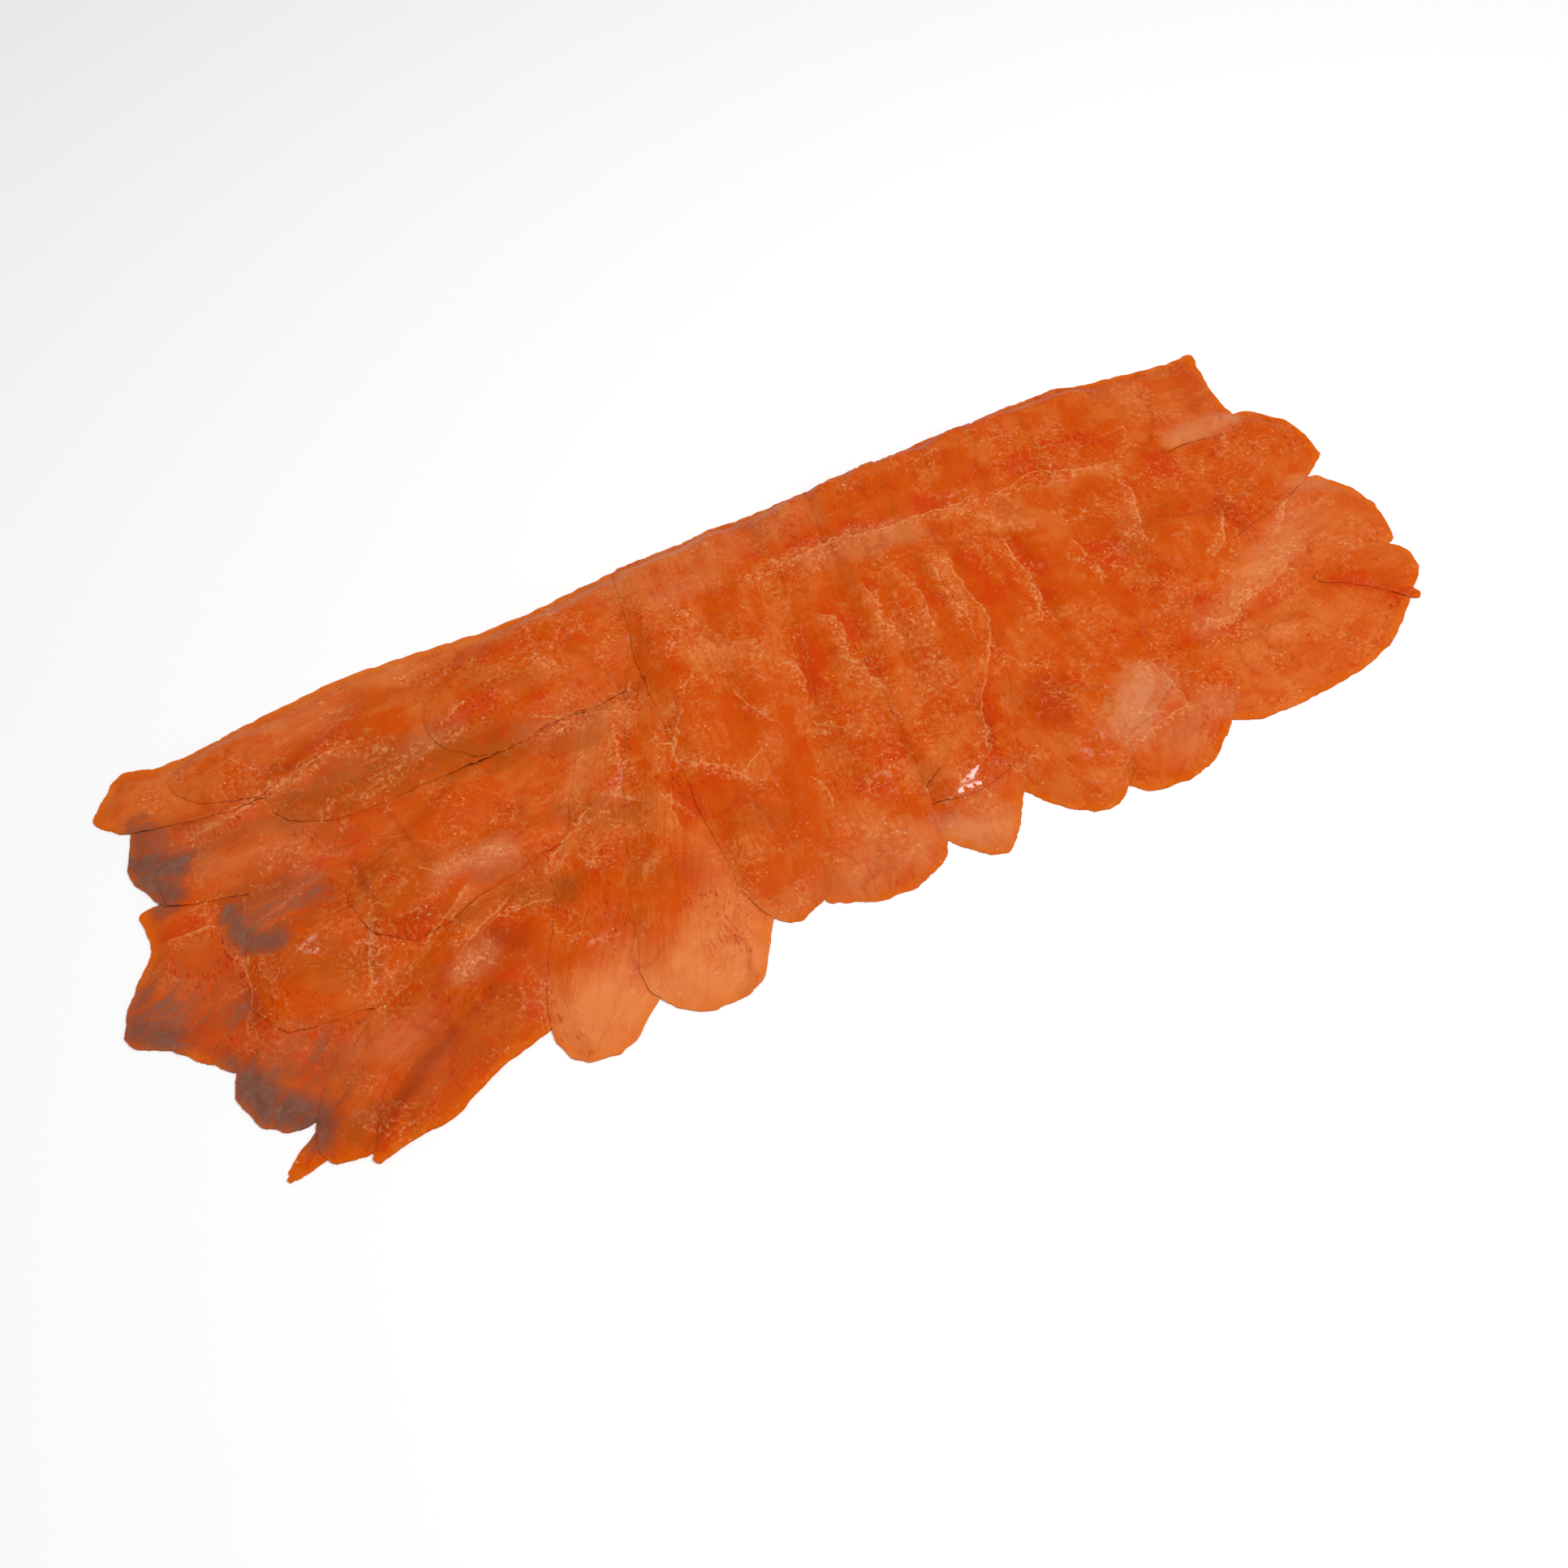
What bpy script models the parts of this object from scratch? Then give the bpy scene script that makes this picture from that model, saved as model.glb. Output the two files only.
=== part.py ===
"""Smoked salmon: one side of the fish cut into thin slices that lie shingled in the side's own shape.

Metres, +Z up. The slices lie on z = 0, the long way along X. Two fans meet in the middle: the right fan
steps down to +X and the left fan to -X, so the slices are laid from both ends towards the middle.
Every slice is a sheet between its spine and its margins. It is draped over the slices laid before it.
"""
import math
from collections import namedtuple

import bmesh
import bpy
import numpy as np

MM = 0.001

# Driving dimensions, millimetres
SLICE_THICKNESS = 3.6      # a hand-cut slice at its thickest
THINNEST_SLICE = 2.1       # and where the side is already at its full height
MARGIN_SHARE = 0.42        # of that thickness left at a slice's margin
LAY_GAP = 0.35             # kept between a slice and what it lies on
CELL_ALONG = 12.5          # size of a slice's facets along its spine
CELL_ACROSS = 9.0          # and across it
MARGIN_WANDER = 1.6        # how far a cut margin strays from its smooth line
FULL_STRAY_WIDTH = 30.0    # a slice narrower than this strays less
SHARP_END = 0.07           # share of a slice's width left at a sharp end
ROUND_END = 0.26           # at a round one
SQUARE_END = 0.86          # and at a square one
SQUARE_CAP = 6.0           # the longest cap of a square end
GROOVE_DEPTH_SHARE = 0.42  # of each slice's thickness lost in the groove along the side
GROOVE_HALF_WIDTH = 9.0

# Draping
MAP_STEP = 1.5             # step of the height map that the slices are laid on
MAP_LOW = (-305.0, -130.0)
MAP_HIGH = (295.0, 130.0)
SETTLE_STEPS = 60
SETTLE_DROP = 0.25         # how far a slice sinks in one settling step
EVEN_OUT = 0.4             # share of its neighbours' height that a point then takes

SEED = 11
FLESH = (0.62, 0.13, 0.025, 1.0)
DARK_FLESH = (0.36, 0.11, 0.05, 1.0)

# A slice runs from its root through a middle point to its tip, all (x, y) in the plane it lies on.
# Widths are at those three places. A cap is the length over which an end rounds off, and a sharp
# end tapers to a corner.
Slice = namedtuple("Slice", "name root middle tip widths caps sharp pulls")


def cut(name, root, middle, tip, widths, caps=(16, 22), sharp=False, pulls=()):
    return Slice(name, root, middle, tip, widths, caps, sharp, pulls)


# From the lowest slice to the highest. A pull drags the outline near one point: (along, across, dx, dy,
# reach), with along from 0 at the root to 1 at the tip, and across from -1 on the right of the way to +1.
SLICES = [
    cut("right_end_low", (150, -28), (214, -26), (268, -20), (52, 58, 44), (18, 10)),
    cut("right_end_middle", (150, 14), (212, 19), (267, 32), (64, 64, 40), (18, 12)),
    cut("right_near_oval", (138, -74), (206, -73), (263, -52), (44, 46, 38), (26, 28),
        pulls=[(0.8, -1, -2, 9, 24)]),
    cut("right_near_shred", (218, -47), (238, -60), (257, -80), (7, 10, 5), (10, 14), True),
    cut("right_far_corner", (104, 74), (185, 76), (248, 68), (52, 66, 58), (18, 4),
        pulls=[(1, 1, 2, 2, 5), (1, -1, 6, 0, 14)]),
    cut("left_corner", (-212, -2), (-250, -7), (-286, -19), (74, 82, 76), (20, 28), True,
        pulls=[(0.7, -1, 9, -5, 18), (0.5, -1, -10, 0, 9), (0.5, 1, -14, -4, 14)]),
    cut("left_near_brown", (-200, -32), (-226, -52), (-250, -77), (54, 52, 42), (20, 18)),
    cut("left_far_brown", (-204, 52), (-234, 51), (-264, 50), (46, 46, 42), (18, 9)),
    cut("left_far_tip", (-196, 80), (-232, 84), (-264, 91), (44, 42, 26), (18, 5),
        pulls=[(1, 1, -4, 1, 12), (1, -1, 8, 3, 12)]),
    cut("far_left_band", (14, 80), (-112, 83), (-238, 80), (54, 57, 32), (18, 18)),
    cut("left_bright_oval", (-122, 24), (-190, 32), (-256, 34), (42, 36, 26), (18, 30)),
    cut("left_brown_notch", (-150, 0), (-196, -1), (-242, 0), (48, 44, 32), (18, 14)),
    cut("left_middle", (-106, -26), (-176, -26), (-241, -25), (54, 50, 42), (18, 12)),
    cut("near_left_shred", (-196, -72), (-230, -87), (-259, -101), (10, 12, 4), (10, 22), True),
    cut("near_left_fold", (-128, -40), (-186, -66), (-237, -97), (50, 44, 22), (18, 16)),
    cut("near_left_strip", (-86, -52), (-160, -71), (-225, -107), (46, 36, 14), (18, 26), True),
    cut("far_shingle_1", (152, 109), (159, 4), (95, -100), (76, 86, 50), (5, 24)),
    cut("far_shingle_2", (125, 109), (104, 6), (110, -78), (78, 80, 54), (5, 7)),
    cut("far_shingle_3", (104, 109), (80, 6), (84, -103), (68, 70, 36), (5, 24)),
    cut("far_shingle_4", (83, 109), (61, 6), (34, -100), (52, 52, 30), (5, 30),
        pulls=[(0.88, -1, -8, 0, 16), (0.88, 1, -5, 0, 12)]),
    cut("far_shingle_5", (66, 109), (46, 6), (37, -74), (50, 50, 42), (5, 10)),
    cut("far_shingle_6", (49, 109), (26, 6), (16, -62), (48, 48, 38), (5, 18)),
    cut("far_shingle_7", (28, 109), (4, 6), (-10, -98), (54, 56, 58), (5, 14)),
    cut("middle_left_1", (-66, 26), (-130, 8), (-192, -18), (62, 56, 42), (20, 14)),
    cut("middle_left_2", (-60, 70), (-132, 60), (-206, 56), (56, 52, 34), (20, 16)),
    cut("near_tongue_1", (-44, 42), (-98, -44), (-144, -104), (56, 52, 26), (22, 18)),
    cut("middle_left_3", (-20, 74), (-80, 64), (-138, 52), (56, 54, 40), (20, 16)),
    cut("near_tongue_2", (-16, 60), (-58, -30), (-98, -106), (60, 62, 36), (20, 16)),
    cut("far_shingle_8", (-4, 109), (-26, 6), (-50, -90), (62, 62, 24), (5, 18)),
]

# The groove along the side, from the middle of the far half to where it turns in at the right end
GROOVE = [(-60, 62), (0, 66), (100, 59), (160, 57), (188, 47), (204, 34)]
# The far edge of the side, where every slice ends
FAR_EDGE = [(-275, 90), (-256, 103), (-238, 95), (-200, 101), (-160, 105), (-90, 97), (-40, 102), (60, 102),
            (150, 105), (200, 100), (244, 92), (256, 96)]
FAR_EDGE_ROLL = 6.0        # depth over which slices crowd up to the far edge
# Height of the laid side along X, and the share of it that it keeps from the near edge to the far edge
HEIGHT_ALONG = [(-287, 3), (-240, 6), (-190, 9), (-100, 12), (0, 13), (130, 12.5), (200, 9), (240, 5),
                (272, 3)]
HEIGHT_ACROSS = [(-108, 0.22), (-85, 0.36), (-50, 0.75), (-10, 1.0), (60, 1.0), (86, 0.95), (104, 0.7)]


def clear_scene():
    for thing in list(bpy.data.objects):
        bpy.data.objects.remove(thing, do_unlink=True)


def flesh_material(name, colour):
    material = bpy.data.materials.new(name)
    material.use_nodes = True
    shader = material.node_tree.nodes["Principled BSDF"]
    shader.inputs["Base Color"].default_value = colour
    shader.inputs["Roughness"].default_value = 0.38
    shader.inputs["Metallic"].default_value = 0.0
    return material


def through(three, s):
    """The value at s of the parabola through three values at 0, 0.5 and 1."""
    a, b, c = (np.asarray(value, dtype=float) for value in three)
    s = np.asarray(s, dtype=float)
    if a.ndim:
        s = s[:, None]
    return a * (1 - s) * (1 - 2 * s) + b * 4 * s * (1 - s) + c * s * (2 * s - 1)


def spaced(count):
    """Stations from 0 to 1, closer together towards both ends."""
    even = np.linspace(0.0, 1.0, count)
    return 0.5 * even + 0.25 * (1 - np.cos(math.pi * even))


def cap_share(distance, cap, sharp):
    """Share of the width left at a distance from an end whose cap is this long."""
    run = np.clip(distance / cap, 0.0, 1.0)
    if sharp:
        return SHARP_END + (1 - SHARP_END) * run
    end = SQUARE_END if cap <= SQUARE_CAP else ROUND_END
    return np.sqrt(1 - (1 - end ** 2) * (1 - run) ** 2)


def held_by_far_edge(points):
    """Points with those near the far edge crowded up to it, so that none passes it."""
    edge = np.interp(points[..., 0], *np.array(FAR_EDGE).T)
    start = edge - FAR_EDGE_ROLL
    over = np.maximum(points[..., 1] - start, 0.0)
    held = start + FAR_EDGE_ROLL * (1 - np.exp(-over / FAR_EDGE_ROLL))
    return np.stack([points[..., 0], np.where(over > 0, held, points[..., 1])], axis=-1)


def slice_outline(piece, rng):
    """Grid of points of a slice in its plane: rows along the spine, columns from the right margin."""
    fine = through((piece.root, piece.middle, piece.tip), np.linspace(0, 1, 60))
    length = float(np.sum(np.linalg.norm(np.diff(fine, axis=0), axis=1)))
    rows = max(6, round(length / CELL_ALONG)) + 1
    columns = max(3, round(max(piece.widths) / CELL_ACROSS)) + 1
    s = spaced(rows)
    spine = through((piece.root, piece.middle, piece.tip), s)
    ahead = np.gradient(spine, s, axis=0)
    ahead /= np.linalg.norm(ahead, axis=1)[:, None]
    left = np.stack([-ahead[:, 1], ahead[:, 0]], axis=1)
    width = through(piece.widths, s)
    width = width * cap_share(s * length, piece.caps[0], False)
    width = width * cap_share((1 - s) * length, piece.caps[1], piece.sharp)
    across = np.linspace(-1.0, 1.0, columns)
    grid = spine[:, None, :] + across[None, :, None] * (width / 2)[:, None, None] * left[:, None, :]
    stray = rng.normal(0.0, 1.0, (2, rows)) * MARGIN_WANDER
    for side, column in enumerate((0, columns - 1)):
        smooth = np.convolve(stray[side], (0.25, 0.5, 0.25), "same")
        smooth *= np.minimum(1.0, width / FULL_STRAY_WIDTH)
        grid[:, column] += (smooth * (1 if column else -1))[:, None] * left
    for along, way, dx, dy, reach in piece.pulls:
        held = grid[round(along * (rows - 1)), round((way + 1) / 2 * (columns - 1))].copy()
        apart = np.linalg.norm(grid - held, axis=2)
        grid += np.exp(-(apart / reach) ** 2)[:, :, None] * (dx, dy)
    return held_by_far_edge(grid)


def distance_to_groove(points):
    best = np.full(len(points), 1e9)
    for (x0, y0), (x1, y1) in zip(GROOVE[:-1], GROOVE[1:]):
        run = np.array((x1 - x0, y1 - y0), dtype=float)
        share = np.clip((points - (x0, y0)) @ run / (run @ run), 0.0, 1.0)
        near = np.array((x0, y0)) + share[:, None] * run
        best = np.minimum(best, np.linalg.norm(points - near, axis=1))
    return best


def side_height(points):
    """How high the laid side stands over each point: a low dome with a long flat top."""
    along = np.interp(points[:, 0], *np.array(HEIGHT_ALONG).T)
    across = np.interp(points[:, 1], *np.array(HEIGHT_ACROSS).T)
    return along * across


def slice_thickness(grid, heights):
    """Thickness of a slice at each point: thick where it has to fill the dome, thin where it is full."""
    rows, columns, _ = grid.shape
    points = grid.reshape(-1, 2)
    thick = np.clip(side_height(points) - heights, THINNEST_SLICE, SLICE_THICKNESS)
    thick *= 1 - GROOVE_DEPTH_SHARE * np.exp(-(distance_to_groove(points) / GROOVE_HALF_WIDTH) ** 2)
    rim = np.ones((rows, columns), dtype=bool)
    rim[1:-1, 1:-1] = False
    return np.where(rim.ravel(), thick * MARGIN_SHARE, thick)


def sheet_triangles(rows, columns):
    """The two triangles of each facet of a grid, as rows of vertex numbers, facing up."""
    faces = []
    for i in range(rows - 1):
        for j in range(columns - 1):
            a = i * columns + j
            b, c, d = a + 1, a + columns + 1, a + columns
            faces += [(a, d, c), (a, c, b)]
    return np.array(faces)


class HeightMap:
    """The top of what has been laid so far, as heights on a square grid."""

    def __init__(self):
        low, high = np.array(MAP_LOW), np.array(MAP_HIGH)
        self.low = low
        self.count = np.ceil((high - low) / MAP_STEP).astype(int) + 1
        self.height = np.zeros(self.count)

    def covered(self, corners):
        """Cells under a triangle and their three weights, or None for a sliver."""
        a, b, c = corners[:, :2]
        area = (b[0] - a[0]) * (c[1] - a[1]) - (c[0] - a[0]) * (b[1] - a[1])
        if abs(area) < 1e-6:
            return None
        first = np.maximum(np.floor((corners[:, :2].min(0) - self.low) / MAP_STEP).astype(int), 0)
        last = np.minimum(np.ceil((corners[:, :2].max(0) - self.low) / MAP_STEP).astype(int), self.count - 1)
        i, j = np.meshgrid(np.arange(first[0], last[0] + 1), np.arange(first[1], last[1] + 1), indexing="ij")
        i, j = i.ravel(), j.ravel()
        x = self.low[0] + i * MAP_STEP
        y = self.low[1] + j * MAP_STEP
        wb = ((x - a[0]) * (c[1] - a[1]) - (c[0] - a[0]) * (y - a[1])) / area
        wc = ((b[0] - a[0]) * (y - a[1]) - (x - a[0]) * (b[1] - a[1])) / area
        weights = np.stack([1 - wb - wc, wb, wc], axis=1)
        inside = weights.min(axis=1) >= -1e-9
        return i[inside], j[inside], weights[inside]

    def lay(self, vertices, triangles):
        """Raises the map to a slice's solid, with the gap that the next slice keeps."""
        for triangle in triangles:
            corners = vertices[triangle]
            found = self.covered(corners)
            if found is None:
                continue
            i, j, weights = found
            z = weights @ corners[:, 2] + LAY_GAP
            self.height[i, j] = np.maximum(self.height[i, j], z)

    def spread(self):
        """The map with every height also at its neighbours, so that no edge falls between samples."""
        grown = self.height.copy()
        for di in (-1, 0, 1):
            for dj in (-1, 0, 1):
                grown = np.maximum(grown, np.roll(self.height, (di, dj), axis=(0, 1)))
        return grown


def settle(grid, faces, ground):
    """Heights of a slice's underside: it sinks and evens out, and is lifted off what is below it."""
    rows, columns, _ = grid.shape
    points = grid.reshape(-1, 2)
    support = ground.spread()
    cells, owners, weights = [], [], []
    for face in faces:
        corners = np.column_stack([points[face], np.zeros(3)])
        found = ground.covered(corners)
        if found is None or not len(found[0]):
            continue
        i, j, share = found
        cells.append(support[i, j])
        owners.append(np.repeat(face[None, :], len(i), axis=0))
        weights.append(share)
    wanted = np.concatenate(cells)
    owners = np.concatenate(owners)
    weights = np.concatenate(weights)
    power = np.sum(weights ** 2, axis=1)
    near = np.clip(np.round((points - ground.low) / MAP_STEP).astype(int), 0, ground.count - 1)
    floor = support[near[:, 0], near[:, 1]]
    z = np.full(len(points), float(wanted.max()))

    def lifted(z):
        z = np.maximum(z, floor)
        short = wanted - np.sum(weights * z[owners], axis=1)
        lift = np.zeros(len(z))
        need = np.maximum(short, 0.0)[:, None] * weights / power[:, None]
        np.maximum.at(lift, owners.ravel(), need.ravel())
        return z + lift

    for _ in range(SETTLE_STEPS):
        sheet = z.reshape(rows, columns)
        padded = np.pad(sheet, 1, mode="edge")
        mean = (padded[:-2, 1:-1] + padded[2:, 1:-1] + padded[1:-1, :-2] + padded[1:-1, 2:]) / 4
        z = lifted(((1 - EVEN_OUT) * sheet + EVEN_OUT * mean).ravel() - SETTLE_DROP)
    return z


def slice_object(piece, ground, material, collection, rng):
    """One slice: a triangulated sheet draped on the slices below, thickened upwards by Solidify."""
    grid = slice_outline(piece, rng)
    rows, columns, _ = grid.shape
    faces = sheet_triangles(rows, columns)
    heights = settle(grid, faces, ground)
    thick = slice_thickness(grid, heights)
    points = np.column_stack([grid.reshape(-1, 2), heights]) * MM
    mesh = bpy.data.meshes.new(piece.name)
    sheet = bmesh.new()
    corners = [sheet.verts.new(point) for point in points]
    for face in faces:
        sheet.faces.new([corners[number] for number in face])
    sheet.normal_update()
    sheet.to_mesh(mesh)
    sheet.free()
    mesh.materials.append(material)
    thing = bpy.data.objects.new(piece.name, mesh)
    collection.objects.link(thing)
    group = thing.vertex_groups.new(name="thickness")
    for number, depth in enumerate(thick):
        group.add([number], float(depth / SLICE_THICKNESS), "REPLACE")
    solid = thing.modifiers.new("thickness", "SOLIDIFY")
    solid.thickness = SLICE_THICKNESS * MM
    solid.offset = 1.0
    solid.vertex_group = group.name
    solid.use_even_offset = False
    bpy.context.view_layer.update()
    made = thing.evaluated_get(bpy.context.evaluated_depsgraph_get()).to_mesh()
    made.calc_loop_triangles()
    vertices = np.array([vertex.co for vertex in made.vertices]) / MM
    triangles = np.array([triangle.vertices for triangle in made.loop_triangles])
    ground.lay(vertices, triangles)
    return vertices


def main():
    clear_scene()
    collection = bpy.data.collections.new("smoked_salmon")
    bpy.context.scene.collection.children.link(collection)
    flesh = flesh_material("salmon_flesh", FLESH)
    dark = flesh_material("brown_salmon_flesh", DARK_FLESH)
    rng = np.random.default_rng(SEED)
    ground = HeightMap()
    reach = []
    for piece in SLICES:
        material = dark if "brown" in piece.name else flesh
        reach.append(slice_object(piece, ground, material, collection, rng))
    every = np.concatenate(reach)
    middle = (every.min(axis=0) + every.max(axis=0)) / 2
    for thing in collection.objects:
        for vertex in thing.data.vertices:
            vertex.co.x -= middle[0] * MM
            vertex.co.y -= middle[1] * MM


main()
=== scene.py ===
import math
from collections import namedtuple

import bmesh
import bpy
import numpy as np
from mathutils import Matrix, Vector
from mathutils.bvhtree import BVHTree


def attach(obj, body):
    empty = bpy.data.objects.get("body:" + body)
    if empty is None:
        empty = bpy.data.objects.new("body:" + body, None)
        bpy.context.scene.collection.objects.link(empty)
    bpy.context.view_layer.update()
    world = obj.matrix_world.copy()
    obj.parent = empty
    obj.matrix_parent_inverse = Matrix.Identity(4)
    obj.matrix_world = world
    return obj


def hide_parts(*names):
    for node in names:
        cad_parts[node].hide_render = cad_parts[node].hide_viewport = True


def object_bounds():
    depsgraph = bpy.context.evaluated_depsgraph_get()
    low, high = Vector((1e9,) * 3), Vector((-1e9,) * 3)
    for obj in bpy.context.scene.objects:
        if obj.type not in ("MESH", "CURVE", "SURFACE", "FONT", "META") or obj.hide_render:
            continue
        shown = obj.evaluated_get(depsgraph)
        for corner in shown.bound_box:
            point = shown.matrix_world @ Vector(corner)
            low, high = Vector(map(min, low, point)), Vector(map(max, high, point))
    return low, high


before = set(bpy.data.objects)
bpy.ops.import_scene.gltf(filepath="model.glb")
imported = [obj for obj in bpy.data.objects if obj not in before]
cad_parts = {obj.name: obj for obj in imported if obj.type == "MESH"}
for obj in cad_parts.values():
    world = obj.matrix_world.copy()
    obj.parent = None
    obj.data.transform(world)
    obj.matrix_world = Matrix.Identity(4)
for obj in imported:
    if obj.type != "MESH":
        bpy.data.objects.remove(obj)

MM = 0.001
CAD_BOX = [list(corner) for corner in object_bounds()]

# The photo's point of view: place in metres, turn in degrees, lens and frame width in millimetres
CAMERA_PLACE = (-0.1986, -0.4142, 0.6017)
CAMERA_TURN = (35.275, 1.662, -27.810)
CAMERA_LENS = 43.12
FRAME_WIDTH = 36.0

# Marks on the flesh are placed where the camera sees them against the floor, in millimetres. This is
# added to the part's own x and y to give theirs.
MARKS_OFFSET = np.array((-9.1, -2.3))

# Fine slices, millimetres
STEP = 1.0                # size of a fine slice's facets
ROOM = 4.0                # of empty grid kept around a slice
SIDE_ROOM = 10.0          # and around the whole side
OUTLINE_BLUR = 1.3        # evens out the outline's corners
SIDE_BLUR = 5.0           # evens out the top of the whole side
FEATHER = 13.0            # width over which a slice thins out to its margin
THIN, PLANNED, THICK = 0.8, 1.8, 4.6   # a slice's thickness away from its margin: least, usual and most
CLING = 0.03              # gap to what lies below
MARGIN_DIP = 1.0          # width over which flesh sinks down beside a margin that lies on it
CLUNG_EDGE = 0.08         # a margin's thickness on flesh where it clings
STANDING_EDGE = 0.40      # and how much more where it stands off
LEAST_EDGE = 0.3          # share of that thickness that is left at least, and twice this on the floor
LOW, HIGH = 5.0, 10.0     # margins stand off on the side's low slopes, and cling above them
CLINGING = 0.2            # how clearly they stand off above them, and 1 on the low slopes
RIM_WIDTH = 2.0           # width over which a margin lies close on the flesh below
SUNK = 0.15               # how deep it sits in that flesh
REST_BLUR = 1.5           # evens out what the rest of a slice lies on
TOP_BLUR = 1.0            # evens out its top
ON_FLOOR, OFF_FLOOR = 0.2, 0.8         # heights up to which flesh is on the floor, and from which it isn't
BLEND = 4.0               # width over which one slice's look passes into the next
KEPT_INSIDE = 0.35        # facets end this share of a step inside the outline, and are then drawn out to it
LONGEST_DRAW = 1.4        # steps that a corner is drawn out at most
LEAST_SLOPE = 0.5         # of the depth where it is drawn out
REACH = 15                # longest depth inside an outline that is told apart
RIM_ANGLE = 50            # degrees: a slice's faces meet its wall in a crisp edge
LEAST_BREADTH = 6         # of a slice, in steps, for the run of its fibres
WET_SHADE_WIDTH = 1.6           # of the dark line beside a margin that lies on a slice: painted shade, on flesh that is wetter there
SHADE_WIDTH = 7.0         # and of the soft shade there
FULL_COVER = 0.5          # share of a place's surroundings that lies under a margin where both are full
GROOVE = [(-20, 66), (20, 67), (100, 60), (160, 58), (186, 48), (204, 38)]
GROOVE_DEPTH = 1.0
GROOVE_WIDTH = 3.2
FRAYS = [(9.0, 0.7), (3.2, 0.55), (1.7, 0.3)]                  # a margin's unevenness: size, reach
BUMPS = [(19.0, 0.34, 5), (7.5, 0.16, 6), (2.8, 0.06, 7)]      # bumps of the flesh: size, height, seed
CREASE_DEPTH = 0.4
CREASE_WIDTH = 0.08       # share of a ripple's height that a crease takes up
CREASE_BEND = 5.0
LEE_SHADE_WIDTH = 7.0           # of the painted shade that darkens the flesh beside a flake's edge
FRINGE_WIDTH = 4.0        # of the frayed flesh on its other side
PAST_END = 3.0            # how far both reach past the edge's ends
EDGE_WANDER = 0.9         # how far an edge strays, with bends of the next size
EDGE_BENDS = 3.5
EDGE_REACH = 9.0          # farthest distance from an edge that is told apart
FAINTNESS = 0.4           # how much farther off a faint edge seems than a clear one
STROKE_WANDER = [(13.0, 0.7), (5.0, 0.6), (2.0, 0.3)]          # how strokes stray: size, reach
STROKE_STRAY = 0.6        # how much of that reach strokes take, and more the broader they are
STROKE_CORE = 0.2         # share of a stroke's half width that is fully marked
FAR = 1e3                 # farther than any place on the fish
RIPPLES = 64              # bumps of a noise before it repeats

# A slice's own look: lighter or darker than the rest, pinker or more orange, how strongly its fibres
# show, how far its margin frays, how thick it is there on the floor in millimetres, and how clearly
# the margin stands off the slices that it covers
Look = namedtuple("Look", "node tone pink fibre fray edge lap")

# From the lowest slice to the highest
LOOKS = [
    Look("right_end_low", 0.04, 0.15, 0.2, 0.5, 0.5, 0.4),
    Look("right_end_middle", 0.0, 0.0, 0.2, 0.5, 0.6, 0.4),
    Look("right_near_oval", 0.04, 0.1, 0.4, 0.4, 0.6, 0.4),
    Look("right_near_shred", -0.24, 0.0, 0.3, 0.2, 0.6, 0.4),
    Look("right_far_corner", 0.02, 0.1, 0.3, 0.4, 0.6, 0.2),
    Look("left_corner", -0.10, 0.1, 0.4, 0.5, 0.6, 0.6),
    Look("left_near_brown", -0.16, 0.2, 0.4, 0.5, 0.6, 0.5),
    Look("left_far_brown", -0.18, 0.1, 0.4, 0.5, 0.6, 0.5),
    Look("left_far_tip", 0.12, 0.1, 0.5, 0.4, 0.6, 0.5),
    Look("far_left_band", 0.10, 0.2, 0.5, 0.4, 0.5, 0.12),
    Look("left_bright_oval", -0.02, 0.1, 0.3, 0.3, 0.6, 0.3),
    Look("left_brown_notch", -0.16, 0.2, 0.3, 0.4, 0.6, 0.5),
    Look("left_middle", -0.04, 0.0, 0.3, 0.5, 0.5, 0.2),
    Look("near_left_shred", -0.12, 0.0, 0.4, 0.2, 0.5, 0.8),
    Look("near_left_fold", -0.04, 0.0, 0.8, 0.4, 0.8, 0.7),
    Look("near_left_strip", -0.10, 0.0, 0.6, 0.3, 1.0, 0.8),
    Look("far_shingle_1", 0.0, 0.0, 0.3, 0.6, 0.35, 0.15),
    Look("far_shingle_2", 0.0, 0.0, 0.3, 0.6, 0.35, 0.2),
    Look("far_shingle_3", 0.0, 0.0, 0.4, 0.6, 0.35, 0.25),
    Look("far_shingle_4", 0.02, 0.1, 0.4, 0.6, 0.35, 0.4),
    Look("far_shingle_5", 0.0, 0.05, 0.3, 0.6, 0.35, 0.25),
    Look("far_shingle_6", 0.0, 0.0, 0.3, 0.6, 0.35, 0.12),
    Look("far_shingle_7", 0.0, 0.05, 0.4, 0.6, 0.35, 0.12),
    Look("middle_left_1", 0.0, 0.05, 0.3, 0.7, 0.35, 0.12),
    Look("middle_left_2", -0.04, 0.0, 0.3, 0.7, 0.35, 0.15),
    Look("near_tongue_1", 0.04, 0.85, 0.9, 0.4, 0.8, 0.5),
    Look("middle_left_3", 0.0, 0.0, 0.3, 0.7, 0.35, 0.15),
    Look("near_tongue_2", 0.04, 0.85, 0.9, 0.4, 0.7, 0.4),
    Look("far_shingle_8", 0.02, 0.0, 0.6, 0.6, 0.4, 0.1),
]

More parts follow.
